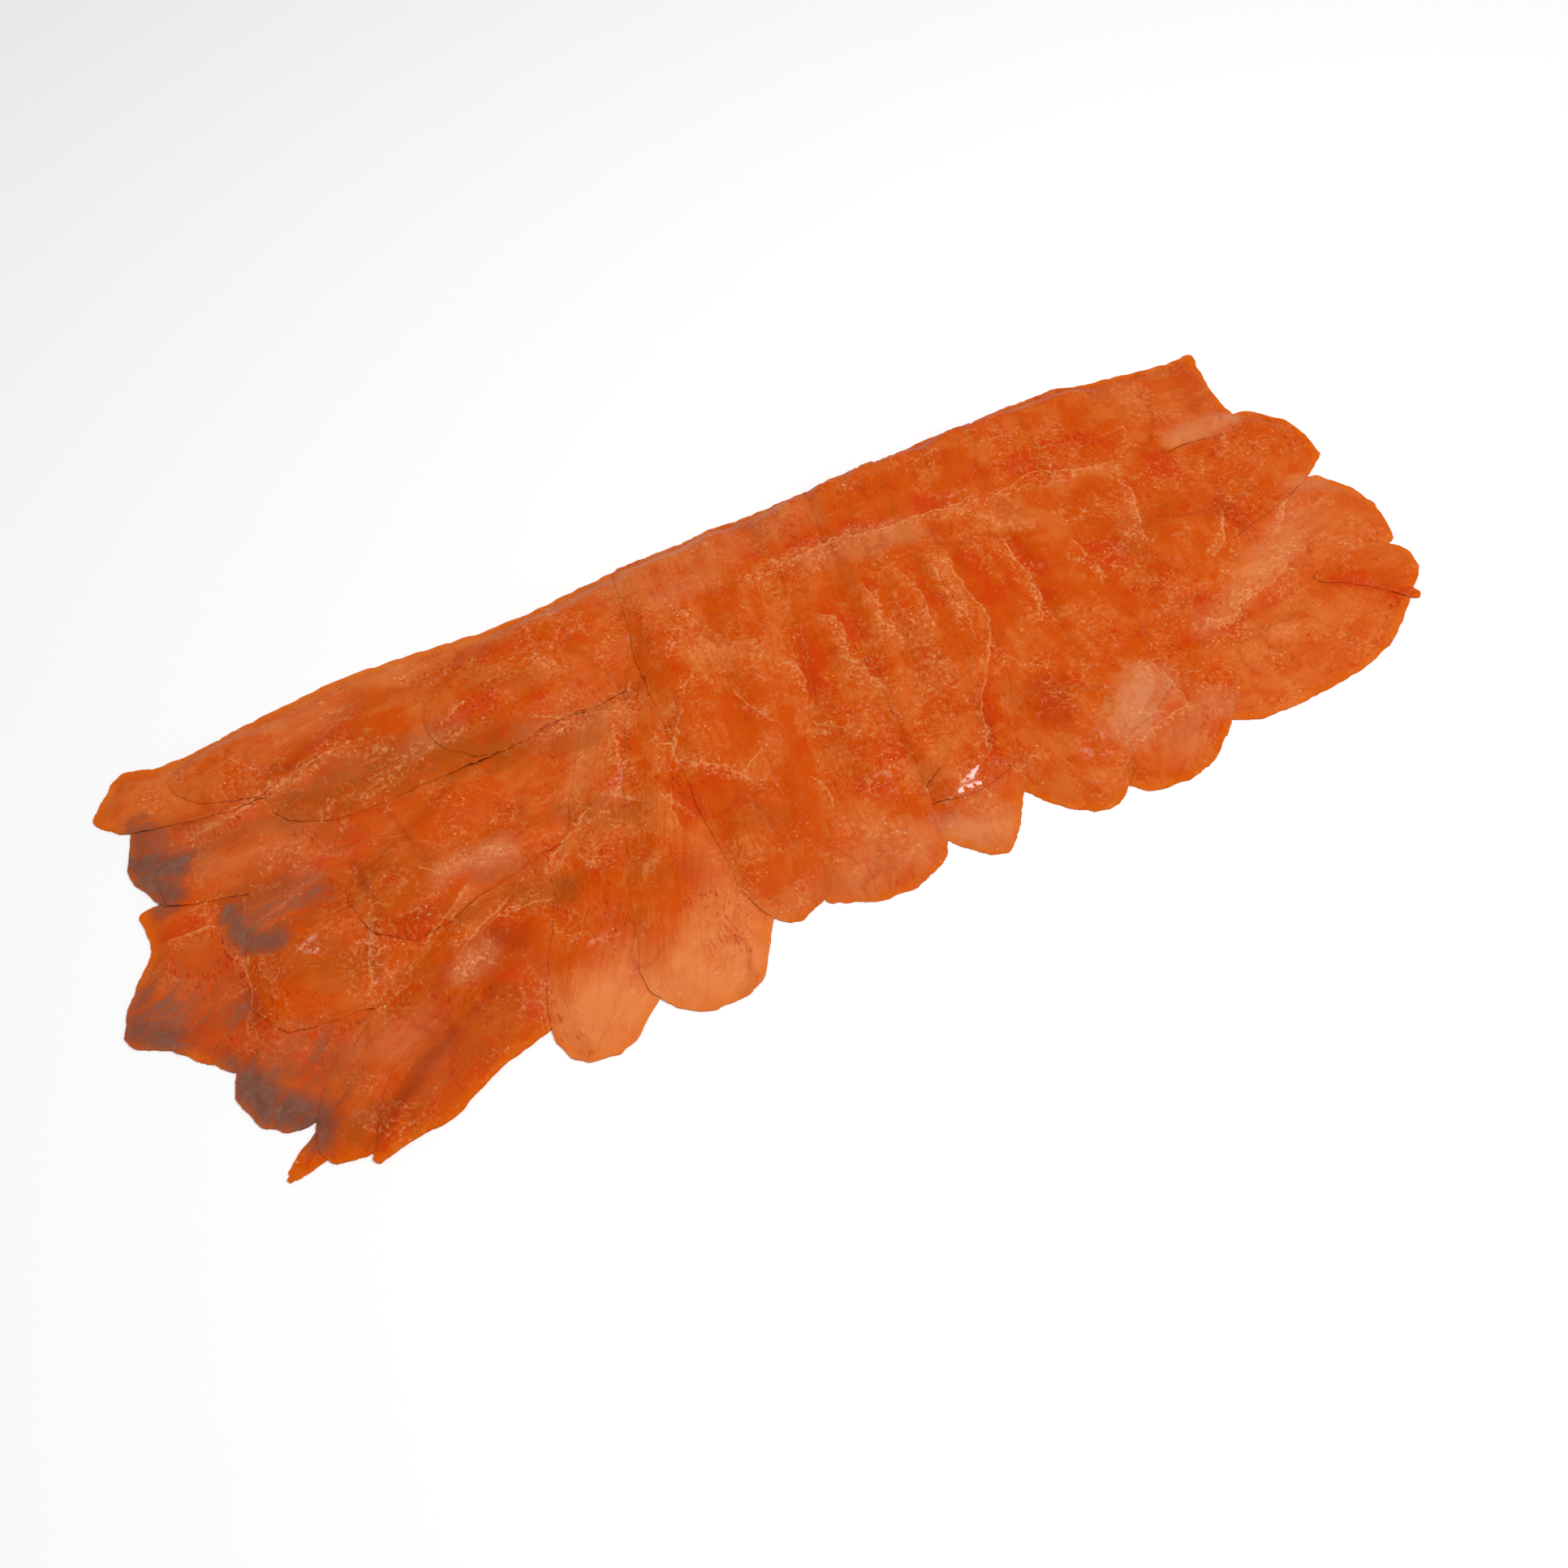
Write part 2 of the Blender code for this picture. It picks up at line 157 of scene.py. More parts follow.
# Marks on the flesh, as strokes of a kind: (x0, y0, x1, y1, half width, strength). A patch is a short
# and broad stroke. First the brown muscle.
BROWN = [
    (-286, -13, -274, -25, 4, 0.85), (-277, -7, -271, -15, 4.5, 0.55), (-268, -22, -246, -25, 4, 0.4),
    (-257, 72, -253, 60, 3.5, 0.7), (-261, 58, -248, 51, 3.5, 0.95), (-259, 46, -256, 35, 3.5, 0.85),
    (-235, 14, -234, 4, 2.8, 0.85), (-233, 2, -225, -2, 3, 0.85), (-228, 12, -206, 12, 5, 0.42),
    (-256, -52, -247, -66, 4.5, 0.9), (-248, -67, -239, -80, 5, 1.0), (-241, -52, -229, -48, 4, 0.35),
    (-240, 58, -228, 61, 3, 0.2), (-188, 34, -183, 28, 4, 0.25), (-145, -12, -132, -18, 4, 0.25),
    (-278, 2, -262, -18, 9, 0.3), (-258, 4, -250, -12, 7, 0.22), (-246, -60, -228, -58, 7, 0.36),
    (-236, -70, -226, -76, 5, 0.3), (-250, 62, -240, 48, 6, 0.26), (-254, -38, -246, -46, 6, 0.2),
]
# Painted shadows: dark folds where one piece of flesh dips under the next
FOLD_SHADOWS = [
    (-222, -98, -206, -86, 2.2, 1.0), (-206, -86, -180, -72, 2.4, 1.0), (-180, -72, -160, -62, 2, 0.5),
    (-236, 23, -214, 18, 4, 0.8), (-214, 18, -200, 12, 3, 0.35), (-187, 14, -186, -8, 1.4, 0.7),
    (-186, -8, -193, -22, 1.4, 0.6), (-193, -22, -197, -36, 1.8, 0.7), (-240, -18, -243, -34, 1.8, 0.8),
    (-268, -24, -245, -27, 3, 0.5), (-262, -40, -245, -44, 3, 0.35), (-240, -84, -215, -88, 3, 0.5),
    (-192, -62, -182, -78, 1.2, 0.5), (-186, -60, -176, -73, 1.0, 0.4), (-200, 73, -182, 69, 1.8, 0.6),
    (-182, 62, -150, 59, 4, 0.35), (-150, -40, -146, -44, 4, 0.6), (64, -30, 56, -56, 1.6, 0.6),
    (91, -42, 89, -52, 5, 0.5), (-172, -18, -150, -30, 4, 0.4), (-247, 66, -230, 64, 3, 0.4),
]
# Where the flesh is a deep orange
DEEP = [
    (-222, -103, -205, -88, 2.5, 0.9), (-205, -88, -178, -72, 2.5, 0.9), (-178, -72, -150, -55, 2, 0.6),
    (-238, -20, -240, -38, 3, 0.7), (-194, 28, -196, 20, 7, 0.6), (-185, -18, -176, -20, 7, 0.6),
    (-150, -40, -146, -42, 6, 0.9), (-130, 58, -110, 62, 5, 0.8), (-122, 44, -112, 46, 4, 0.7),
    (-104, -35, -100, -37, 6, 0.7), (-61, -16, -62, -26, 7, 1.0), (-70, 17, -69, 13, 4, 0.8),
    (-36, 48, -35, 42, 3, 0.8), (-95, 52, -90, 54, 5, 0.6), (-48, -18, -44, -16, 4, 0.5),
    (-74, -54, -66, -62, 8, 0.6), (-218, 28, -210, 32, 8, 0.3), (16, 26, 17, 16, 7, 0.9),
    (9, 5, 13, 2, 5, 0.8), (6, -12, 15, -12, 6, 0.8), (-8, -20, 2, -18, 4, 0.6), (16, -34, 28, -36, 8, 0.8),
    (2, -47, 8, -46, 6, 0.7), (37, 5, 40, 2, 5, 0.9), (38, 28, 40, 20, 4, 0.7), (58, 46, 57, 40, 2.5, 0.8),
    (75, 22, 76, 16, 4, 0.6), (100, 34, 102, 18, 8, 0.9), (95, 16, 99, 13, 5, 0.6),
    (65, -34, 56, -56, 3, 1.0), (70, -28, 66, -40, 4, 0.7), (92, -40, 88, -54, 8, 0.9),
    (122, 28, 124, 18, 8, 0.8), (119, 2, 124, -4, 6, 0.8), (155, 12, 158, 8, 6, 0.7),
    (148, 22, 160, 24, 5, 0.4), (188, 16, 192, 12, 7, 0.4), (201, 43, 204, 40, 7, 0.8),
    (213, -1, 219, -4, 6, 0.7), (171, -31, 172, -36, 5, 0.7), (143, -23, 151, -13, 3, 0.6),
    (133, -38, 135, -44, 6, 0.7), (153, -50, 158, -52, 5, 0.6), (229, -52, 254, -76, 3, 0.8),
    (20, 80, 200, 72, 4, 0.5), (90, 96, 92, 84, 3, 0.3), (122, 96, 120, 80, 3, 0.4),
    (147, 92, 147, 80, 3, 0.25), (184, 98, 190, 62, 3, 0.55), (-125, 85, -80, 82, 5, 0.3),
    (-70, 78, -62, 80, 6, 0.3), (137, -52, 137, -74, 1.2, 0.8), (-150, -76, -146, -84, 3, 0.6),
    (-110, -74, -114, -84, 3, 0.6), (-74, -62, -72, -80, 3, 0.4), (-125, -44, -108, -52, 6, 0.5),
]
# Where it is a yellowish brown
OCHRE = [
    (-240, 50, -200, 52, 6, 0.5), (-200, 52, -150, 50, 11, 0.8), (-150, 50, -110, 38, 11, 0.8),
    (-110, 36, -80, 30, 9, 0.5), (-205, 75, -160, 70, 8, 0.3), (-110, 75, -90, 68, 6, 0.35),
    (-222, -14, -205, -28, 10, 0.5), (-105, -2, -85, -12, 7, 0.55), (-45, -38, -35, -46, 6, 0.4),
    (-85, -42, -75, -50, 7, 0.35), (-200, 10, -170, 5, 7, 0.3), (-160, -45, -140, -50, 8, 0.25),
    (25, 15, 30, 0, 6, 0.2), (60, 15, 58, -10, 6, 0.25), (55, 74, 60, 66, 4, 0.3),
    (-206, -92, -160, -70, 8, 0.5), (-200, -56, -176, -46, 8, 0.35), (165, 10, 190, 20, 8, 0.3),
    (-138, -28, -122, -32, 6, 0.8), (-228, -92, -216, -86, 4, 0.7), (-222, 26, -208, 34, 8, 0.35),
    (-178, -8, -162, -2, 8, 0.35),
]
# Where it is pale
PALE = [
    (215, 50, 245, 48, 4, 0.9), (245, 2, 256, 0, 4, 0.7), (190, -36, 225, -20, 7, 0.7),
    (225, -20, 246, -30, 5, 0.25), (165, -46, 190, -38, 4, 0.6), (112, -66, 128, -58, 9, 0.9),
    (118, -88, 145, -78, 4, 0.4), (160, -60, 172, -66, 5, 0.5), (168, -80, 176, -86, 3.5, 0.7),
    (-5, -66, 5, -76, 9, 0.6), (-30, -70, -20, -80, 6, 0.4), (-60, 100, 40, 100, 7, 0.35),
    (-20, 72, -30, 78, 7, 0.4), (135, 52, 182, 50, 6, 0.5), (80, 62, 110, 60, 4, 0.35),
    (85, 40, 86, 5, 4, 0.4), (-118, 80, -104, 76, 7, 0.4), (-140, 78, -136, 70, 5, 0.5),
    (25, -60, 45, -64, 6, 0.3), (-200, -8, -190, 6, 6, 0.25), (-272, -14, -262, -12, 4, 0.35),
    (-115, -96, -95, -88, 6, 0.2), (-138, -92, -128, -80, 6, 0.3), (195, 82, 225, 84, 8, 0.2),
    (-160, 98, -100, 96, 5, 0.3), (-14, -78, 6, -86, 8, 0.5), (26, -86, 40, -90, 7, 0.9),
    (70, -74, 92, -72, 7, 0.25), (-40, 92, 30, 93, 8, 0.3), (90, 92, 150, 90, 8, 0.3),
    (48, 64, 80, 62, 5, 0.4), (105, -92, 125, -92, 7, 0.6), (-26, 40, -14, 42, 7, 0.6),
    (122, 42, 138, 40, 8, 0.8), (24, -50, 38, -54, 7, 0.7), (190, -60, 212, -62, 9, 0.45),
    (-106, -48, -94, -42, 6, 0.2), (-45, -84, -22, -84, 7, 0.5), (70, -84, 96, -90, 6, 0.5),
    (-110, -50, -90, -46, 6, 0.25), (-60, -30, -40, -20, 6, 0.3),
]
# Where a thin whitish film dulls the flesh
HAZE = [
    (113, -72, 127, -62, 7.5, 1.0), (120, -90, 146, -80, 5, 0.5), (205, -32, 236, -16, 6, 0.45),
    (216, 52, 246, 48, 3.5, 0.8), (245, 2, 256, 0, 4, 0.5), (165, -46, 190, -38, 4, 0.4),
    (-240, 55, -170, 60, 5, 0.2), (-150, 56, -128, 61, 4, 0.3), (-232, 9, -205, 17, 4, 0.5),
    (-158, -4, -134, -6, 4, 0.6), (-40, 92, 40, 93, 8, 0.25), (-20, 78, -6, 82, 5, 0.4),
    (40, 68, 84, 62, 5, 0.35), (-12, -78, 6, -84, 8, 0.35), (26, -86, 42, -90, 7, 0.5),
    (-168, -50, -158, -46, 4, 0.5), (-100, 40, -70, 34, 5, 0.25), (-276, -12, -262, -10, 5, 0.3),
    (-212, -62, -190, -66, 7, 0.4), (-236, 42, -206, 38, 9, 0.25), (-200, 88, -170, 90, 6, 0.25),
    (-40, -84, -22, -88, 6, 0.35),
]
# Where frayed pale threads gather
THREADS = [
    (-260, 57, -236, 52, 1.2, 1.0), (-236, 58, -180, 66, 1.5, 0.8), (-235, 6, -200, 17, 1.2, 0.8),
    (-205, 34, -186, 20, 2, 0.5), (-200, 66, -182, 72, 0.8, 0.9), (-200, 66, -210, 60, 1.5, 0.6),
    (-170, 45, -150, 52, 4, 0.9), (-150, 52, -128, 56, 4, 0.9), (-134, 60, -118, 68, 0.8, 0.8),
    (-82, 68, -70, 84, 0.8, 1.0), (-84, 76, -78, 64, 3, 0.7), (-100, 38, -60, 36, 4, 0.8),
    (-186, 48, -190, 40, 2, 0.8), (-186, 30, -182, 40, 1.5, 0.8), (-237, -6, -242, 2, 2, 0.6),
    (-232, -6, -232, -16, 1.5, 0.8), (-196, -32, -190, -14, 2, 0.7), (-158, -36, -130, -30, 1.2, 0.8),
    (-168, -50, -160, -46, 3, 1.0), (-156, -2, -134, -6, 2.5, 1.0), (-156, -18, -153, -24, 1.2, 0.8),
    (-120, -10, -88, -10, 1.2, 0.6), (-108, -28, -98, -34, 1.0, 0.7), (-92, 14, -70, 22, 3, 0.6),
    (-78, 12, -74, 2, 2, 0.8), (-84, 18, -92, 22, 2, 0.6), (-68, -14, -62, -28, 0.8, 0.9),
    (-56, -2, -38, -22, 2, 0.9), (-60, 12, -34, 36, 1.0, 0.8), (-24, 76, -20, 60, 2.5, 0.8),
    (-18, 88, 2, 74, 2, 0.5), (10, 70, 60, 72, 3.5, 0.8), (60, 72, 90, 66, 3, 0.8),
    (90, 66, 130, 58, 3, 0.6), (130, 60, 190, 54, 2.5, 0.5), (-22, 12, -16, 0, 1.5, 0.6),
    (4, 10, 8, 22, 1.5, 0.7), (28, 14, 33, 34, 1.2, 1.0), (29, 12, 34, -8, 1.0, 0.9),
    (50, 16, 56, 40, 1.2, 1.0), (51, 2, 53, 20, 0.8, 0.7), (68, 12, 73, 38, 1.2, 0.8),
    (82, 10, 88, 44, 4, 0.8), (62, 0, 60, -12, 4, 0.5), (112, -6, 116, 10, 2, 0.9),
    (102, -4, 112, -10, 2, 0.8), (112, 14, 118, 30, 1.5, 0.7), (98, -10, 100, -12, 1.5, 1.0),
    (128, -16, 136, -22, 3, 0.5), (136, 36, 118, 50, 3, 0.6), (141, 12, 145, -2, 1.5, 0.8),
    (138, 16, 142, 10, 2, 0.7), (167, 12, 174, 16, 2.5, 0.9), (176, 24, 186, 50, 1.5, 0.9),
    (192, -12, 207, 0, 1.0, 0.9), (222, -14, 236, -4, 1.0, 0.9), (152, 2, 156, -8, 1.5, 0.6),
    (170, -46, 178, -48, 2, 1.0), (178, -46, 205, -32, 3, 0.8), (205, -30, 235, -22, 2, 0.6),
    (238, -28, 248, -38, 2, 0.9), (178, -56, 196, -66, 4, 0.5), (108, -81, 118, -79, 1.5, 1.0),
    (118, -79, 134, -77, 1.0, 0.8), (20, -36, 26, -24, 3, 0.3), (-4, -14, 6, -18, 1.5, 0.5),
    (-60, 62, -52, 70, 3, 0.6), (90, 60, 94, 52, 3, 0.4), (-12, 50, -4, 52, 3, 0.4),
    (-195, 84, -190, 84, 1.5, 1.0), (-140, 90, -134, 88, 2, 0.9), (-80, 92, -68, 96, 3, 0.5),
    (-208, -38, -198, -46, 3, 0.5), (-68, -92, -72, -70, 1, 0.4),
]
# Ragged edges of the flakes: how clearly the pale edge shows, how much painted shade darkens the flesh on
# its right, and the points that it runs through
FLAKE_EDGES = [
    (0.8, 0.9, [(3, 0), (7, 9), (8.5, 21)]), (0.7, 0.0, [(2, 22), (8.5, 21.5)]),
    (0.9, 0.8, [(34, -10), (32, 0), (30.5, 8)]),
    (1.0, 0.8, [(29, 14), (32, 21), (35, 29), (33.5, 35), (30, 37.5)]),
    (1.0, 0.6, [(49, 20), (52, 28), (54, 37), (53.5, 42)]), (0.8, 0.3, [(52.5, 9), (53, 18)]),
    (0.8, 0.5, [(68, 10), (70, 18), (72, 26), (71, 40)]),
    (0.8, 0.7, [(75.5, -21), (80, -14), (85, -7), (90, 2), (90, 28), (92, 38)]),
    (0.6, 0.0, [(80, -4), (83, 10), (82, 24), (84, 38)]),
    (0.9, 0.8, [(108, -7), (115, 0), (115.5, 8), (117.5, 15), (117, 28), (119, 34)]),
    (0.9, 0.6, [(142, -4), (145, 5)]), (0.8, 0.6, [(140, 10), (145, 12), (144, 20)]),
    (0.8, 0.5, [(171, 5), (173, 12), (177, 21), (180, 28), (182.5, 34), (180.5, 43)]),
    (1.0, 0.3, [(194, -14), (201, -9), (206, -1), (209, 4)]),
    (0.9, 0.3, [(222, -18), (229, -12), (236, -5)]),
    (0.9, 0.7, [(170, -47), (178, -49), (187, -41), (203, -40), (215, -34)]),
    (0.7, 0.0, [(170, -44), (176, -46)]), (0.7, 0.5, [(-20.5, 17.5), (-17, 5), (-14, -1)]),
    (0.7, 0.3, [(-30, 37), (-39, 29)]), (0.6, 0.0, [(-24, -11), (-32, -17)]),
    (0.8, 0.3, [(-40, -12), (-35, -25)]), (0.9, 0.0, [(0, -10), (7, -17)]),
    (0.6, 0.5, [(-12, -50), (-10.5, -42), (-13, -35)]),
    (0.9, 0.8, [(-168, 71.5), (-184, 70.5), (-194, 67.5), (-200, 65.5)]),
    (1.0, 0.9, [(-132, 61), (-127.5, 64), (-122, 67.5)]), (0.7, 0.4, [(-164, 0.5), (-159, -5)]),
    (0.9, 0.6, [(-152, -15), (-159, -20), (-166, -25), (-175, -30)]),
    (1.0, 0.0, [(-140, -2), (-133, -7.5)]), (0.9, 0.7, [(-96, -5), (-110, -14), (-120, -20)]),
    (1.0, 0.0, [(-109, -24), (-105, -30)]), (0.8, 0.0, [(-159, -37), (-140, -28)]),
    (0.9, 0.0, [(-141, -34), (-127, -36)]), (0.8, 0.0, [(-98, 48), (-91, 44), (-88, 38)]),
    (1.0, 0.7, [(-77.5, 7), (-75, 15), (-72.5, 23)]), (0.8, 0.4, [(-57, 2), (-51, 10), (-44, 21)]),
    (1.0, 0.5, [(-55, -2), (-47, -7.5), (-41, -12.5)]), (0.9, 0.9, [(-69, -29), (-68.5, -20), (-66, -15)]),
    (0.9, 0.4, [(-85, -5), (-77, -12.5)]), (0.8, 0.6, [(54, -57), (60, -42), (66, -31), (72, -25)]),
    (0.8, 0.8, [(111, 62), (100, 66), (77, 67.5), (50, 72), (28, 71)]),
    (0.6, 0.6, [(186, 52), (175, 54), (160, 60), (150, 65), (130, 61)]),
    (0.9, 0.3, [(136, -76), (122, -78), (108, -82)]), (0.8, 0.6, [(137, -75), (136, -60), (135, -50)]),
    (0.7, 0.6, [(-229, 20), (-233, 8), (-236, 0), (-241, -4)]),
    (0.7, 0.4, [(-237, -6), (-240, -20), (-246, -36)]),
    (0.8, 0.5, [(-212, 12), (-230, 7), (-240, 14), (-260, 16)]),
    (0.7, 0.3, [(-192, -14), (-196, -26), (-200, -40)]), (0.8, 0.4, [(-240, 57), (-222, 60), (-205, 66)]),
    (0.7, 0.0, [(-168, -50), (-160, -46), (-156, -52)]),
]
# Where a wet film shines
FILM = [
    (18, -76, 24, -78, 3.5, 1.0), (26, -72, 34, -76, 4.0, 1.0), (36, -70, 47, -68, 5.0, 1.0),
    (49, -67, 56, -64, 3.0, 1.0), (121, -60, 122, -74, 2.6, 1.0),
]
# Each kind of stroke with the seed of its unevenness, and how softly it ends
STROKES = {
    "brown": (BROWN, 301, 3.6),
    "fold": (FOLD_SHADOWS, 381, 2.0),
    "deep": (DEEP, 311, 1.5),
    "ochre": (OCHRE, 321, 1.5),
    "pale": (PALE, 331, 1.5),
    "haze": (HAZE, 371, 2.4),
    "threads": (THREADS, 341, 1.5),
    "film": (FILM, 351, 1.5),
}


def smooth_step(value):
    share = np.clip(value, 0.0, 1.0)
    return share * share * (3 - 2 * share)


def ripple(points, size, seed):
    """Smooth noise from -1 to 1 over points in millimetres, with bumps of about this size."""
    table = np.random.default_rng(seed).uniform(-1.0, 1.0, (RIPPLES, RIPPLES))
    place = points / size
    cell = np.floor(place).astype(int)
    share = smooth_step(place - cell)
    i, j = cell[..., 0] % RIPPLES, cell[..., 1] % RIPPLES
    beside_i, beside_j = (i + 1) % RIPPLES, (j + 1) % RIPPLES
    near = table[i, j] * (1 - share[..., 0]) + table[beside_i, j] * share[..., 0]
    far = table[i, beside_j] * (1 - share[..., 0]) + table[beside_i, beside_j] * share[..., 0]
    return near * (1 - share[..., 1]) + far * share[..., 1]


def strayed(points, size, seed):
    """Such noise along both axes, to push places about with."""
    return np.stack([ripple(points, size, seed), ripple(points, size, seed + 1)], axis=-1)


def blurred(grid, width):
    """A grid evened out by a bell of this width, in steps of the grid."""
    reach = int(math.ceil(2.5 * width))
    weights = np.exp(-0.5 * (np.arange(-reach, reach + 1) / width) ** 2)
    weights /= weights.sum()
    for axis in (0, 1):
        room = [(reach, reach) if side == axis else (0, 0) for side in (0, 1)]
        padded = np.pad(grid, room, mode="edge")
        length = grid.shape[axis]
        grid = sum(
            weight * np.take(padded, range(shift, shift + length), axis=axis)
            for shift, weight in enumerate(weights)
        )
    return grid


def spread_out(grid, reach):
    """Each place of a grid raised to the highest value within reach steps of it."""
    for _ in range(reach):
        for axis in (0, 1):
            grid = np.maximum(grid, np.maximum(np.roll(grid, 1, axis), np.roll(grid, -1, axis)))
    return grid


class Raster:
    """The square grid, seen from above, on which the slices' heights are kept, in millimetres."""

    def __init__(self):
        low, high = np.array(CAD_BOX) / MM
        self.low = low[:2] - SIDE_ROOM
        self.shape = tuple(np.ceil((high[:2] + SIDE_ROOM - self.low) / STEP).astype(int) + 1)
        i, j = np.indices(self.shape)
        self.points = self.low + np.stack([i, j], axis=-1) * STEP

    def cells(self, points):
        cell = np.clip(np.round((points - self.low) / STEP).astype(int), 0, np.array(self.shape) - 1)
        return cell[..., 0], cell[..., 1]

    def drawn(self, points, values, kept):
        """A slice's values on this grid, and 0 where the slice isn't, sampled also between its corners."""
        grid = np.zeros(self.shape)
        for share_i, share_j in ((0, 0), (0.5, 0), (0, 0.5), (0.5, 0.5)):
            inside = between(kept.astype(float), share_i, share_j) > 0.99
            cell = self.cells(between(points, share_i, share_j)[inside])
            np.maximum.at(grid, cell, between(values, share_i, share_j)[inside])
        return grid


def between(grid, share_i, share_j):
    """Values of a grid part of the way from each corner to the next."""
    along = grid[:-1] * (1 - share_i) + grid[1:] * share_i
    return along[:, :-1] * (1 - share_j) + along[:, 1:] * share_j


def outline_depth(inside):
    """How deep each place of a grid lies inside the outline, in millimetres, and below 0 outside it."""
    rows, columns = np.indices(inside.shape)
    places = np.stack([rows, columns], axis=-1).reshape(-1, 2).astype(float)
    inner = inside & spread_out(~inside, 1)
    outer = ~inside & spread_out(inside, 1)
    depth = np.zeros(inside.size)
    within = inside.ravel()
    at_once = 50
    for edge, side in ((outer, within), (inner, ~within)):
        marks = np.argwhere(edge).astype(float)
        chosen = places[side]
        best = np.full(len(chosen), FAR ** 2)
        for start in range(0, len(marks), at_once):
            apart = chosen[:, None, :] - marks[None, start:start + at_once, :]
            best = np.minimum(best, np.einsum("ijk,ijk->ij", apart, apart).min(axis=1))
        depth[side] = (np.sqrt(best) - 0.5) * STEP
    depth[~within] *= -1
    return np.clip(depth, -REACH, REACH).reshape(inside.shape)


Field = namedtuple("Field", "points inside top")


def packed_field(node):
    """A packed slice sampled from above on a square grid of its own, which runs along the slice."""
    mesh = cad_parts[node].data
    corners = [vertex.co for vertex in mesh.vertices]
    tree = BVHTree.FromPolygons(corners, [polygon.vertices for polygon in mesh.polygons])
    flat = np.array(corners)[:, :2] / MM
    middle = (flat.min(axis=0) + flat.max(axis=0)) / 2
    along = np.linalg.eigh(np.cov((flat - middle).T))[1][:, 1]
    axes = np.array([along, (-along[1], along[0])])
    reach = np.abs((flat - middle) @ axes.T).max(axis=0) + ROOM
    half = np.ceil(reach / STEP).astype(int)
    i, j = np.meshgrid(*(np.arange(-count, count + 1) for count in half), indexing="ij")
    points = middle + (np.stack([i, j], axis=-1) * STEP) @ axes
    top = np.zeros(i.shape)
    inside = np.zeros(i.shape, dtype=bool)
    for place in np.ndindex(i.shape):
        x, y = points[place] * MM
        hit = tree.ray_cast((x, y, 1.0), (0, 0, -1))[0]
        if hit is not None:
            inside[place] = True
            top[place] = hit.z / MM
    return Field(points, inside, top)


def evened(grid, inside, width):
    """A blurred grid that takes nothing from outside the outline."""
    weight = inside.astype(float)
    share = blurred(weight, width)
    return blurred(grid * weight, width) / np.maximum(share, 1e-6)


def relief(points):
    """Low bumps and hollows of the flesh, and winding creases in it, in millimetres."""
    bumps = sum(height * ripple(points, size, seed) for size, height, seed in BUMPS)
    return bumps - CREASE_DEPTH * creases(points)


def creases(points):
    """Where the flesh is creased, from 0 to 1: winding lines that come and go."""
    bent = points + CREASE_BEND * strayed(points, 11.0, 8)
    lines = np.exp(-(ripple(bent, 23.0, 10) / CREASE_WIDTH) ** 2)
    creased = smooth_step(ripple(points, 31.0, 11) * 3 + 0.5)
    return lines * creased * smooth_step(ripple(points, 9.0, 12) * 2 + 0.9)


def groove_depth(points):
    """How deep the groove along the side is at each point."""
    far = np.full(points.shape[:-1], FAR)
    line = np.array(GROOVE, dtype=float) - MARKS_OFFSET
    for start, end in zip(line[:-1], line[1:]):
        run = end - start
        share = np.clip(((points - start) @ run) / (run @ run), 0.0, 1.0)
        far = np.minimum(far, np.linalg.norm(points - start - share[..., None] * run, axis=-1))
    return GROOVE_DEPTH * np.exp(-(far / GROOVE_WIDTH) ** 2)


Outline = namedtuple("Outline", "look field depth kept points")


def fine_outline(look, seed):
    """A slice's outline with its frayed margin, on the slice's own grid."""
    field = packed_field(look.node)
    depth = blurred(outline_depth(field.inside), OUTLINE_BLUR / STEP)
    fray = sum(reach * ripple(field.points, size, seed + kind) for kind, (size, reach) in enumerate(FRAYS))
    depth = depth + look.fray * fray
    kept = tidied(depth > KEPT_INSIDE * STEP)
    return Outline(look, field, depth, kept, drawn_to_outline(field.points, depth, kept))


Side = namedtuple("Side", "top standing tone pink fibre")


def whole_side(outlines, raster):
    """The side as one surface: its top, how clearly margins stand off there, and its looks blended."""
    top = np.zeros(raster.shape)
    looks = np.zeros(raster.shape + (3,))
    for outline in outlines:
        field = outline.field
        top = np.maximum(top, raster.drawn(field.points, field.top, field.inside))
        here = raster.drawn(outline.points, np.ones(outline.depth.shape), outline.kept) > 0
        looks[here] = (outline.look.tone, outline.look.pink, outline.look.fibre)
    even = evened(top, top > 0, SIDE_BLUR / STEP)
    standing = 1.0 - (1.0 - CLINGING) * smooth_step((even - LOW) / (HIGH - LOW))
    tone, pink, fibre = (evened(looks[..., kind], top > 0, BLEND / STEP) for kind in range(3))
    return Side(even + relief(raster.points) - groove_depth(raster.points), standing, tone, pink, fibre)


def thickness(outline, edge, inner):
    """Thickness of a slice with this thickness at its margin and away from it."""
    return edge + (inner - edge) * smooth_step(outline.depth / FEATHER)


Sheet = namedtuple("Sheet", "outline covered top bottom on_floor")


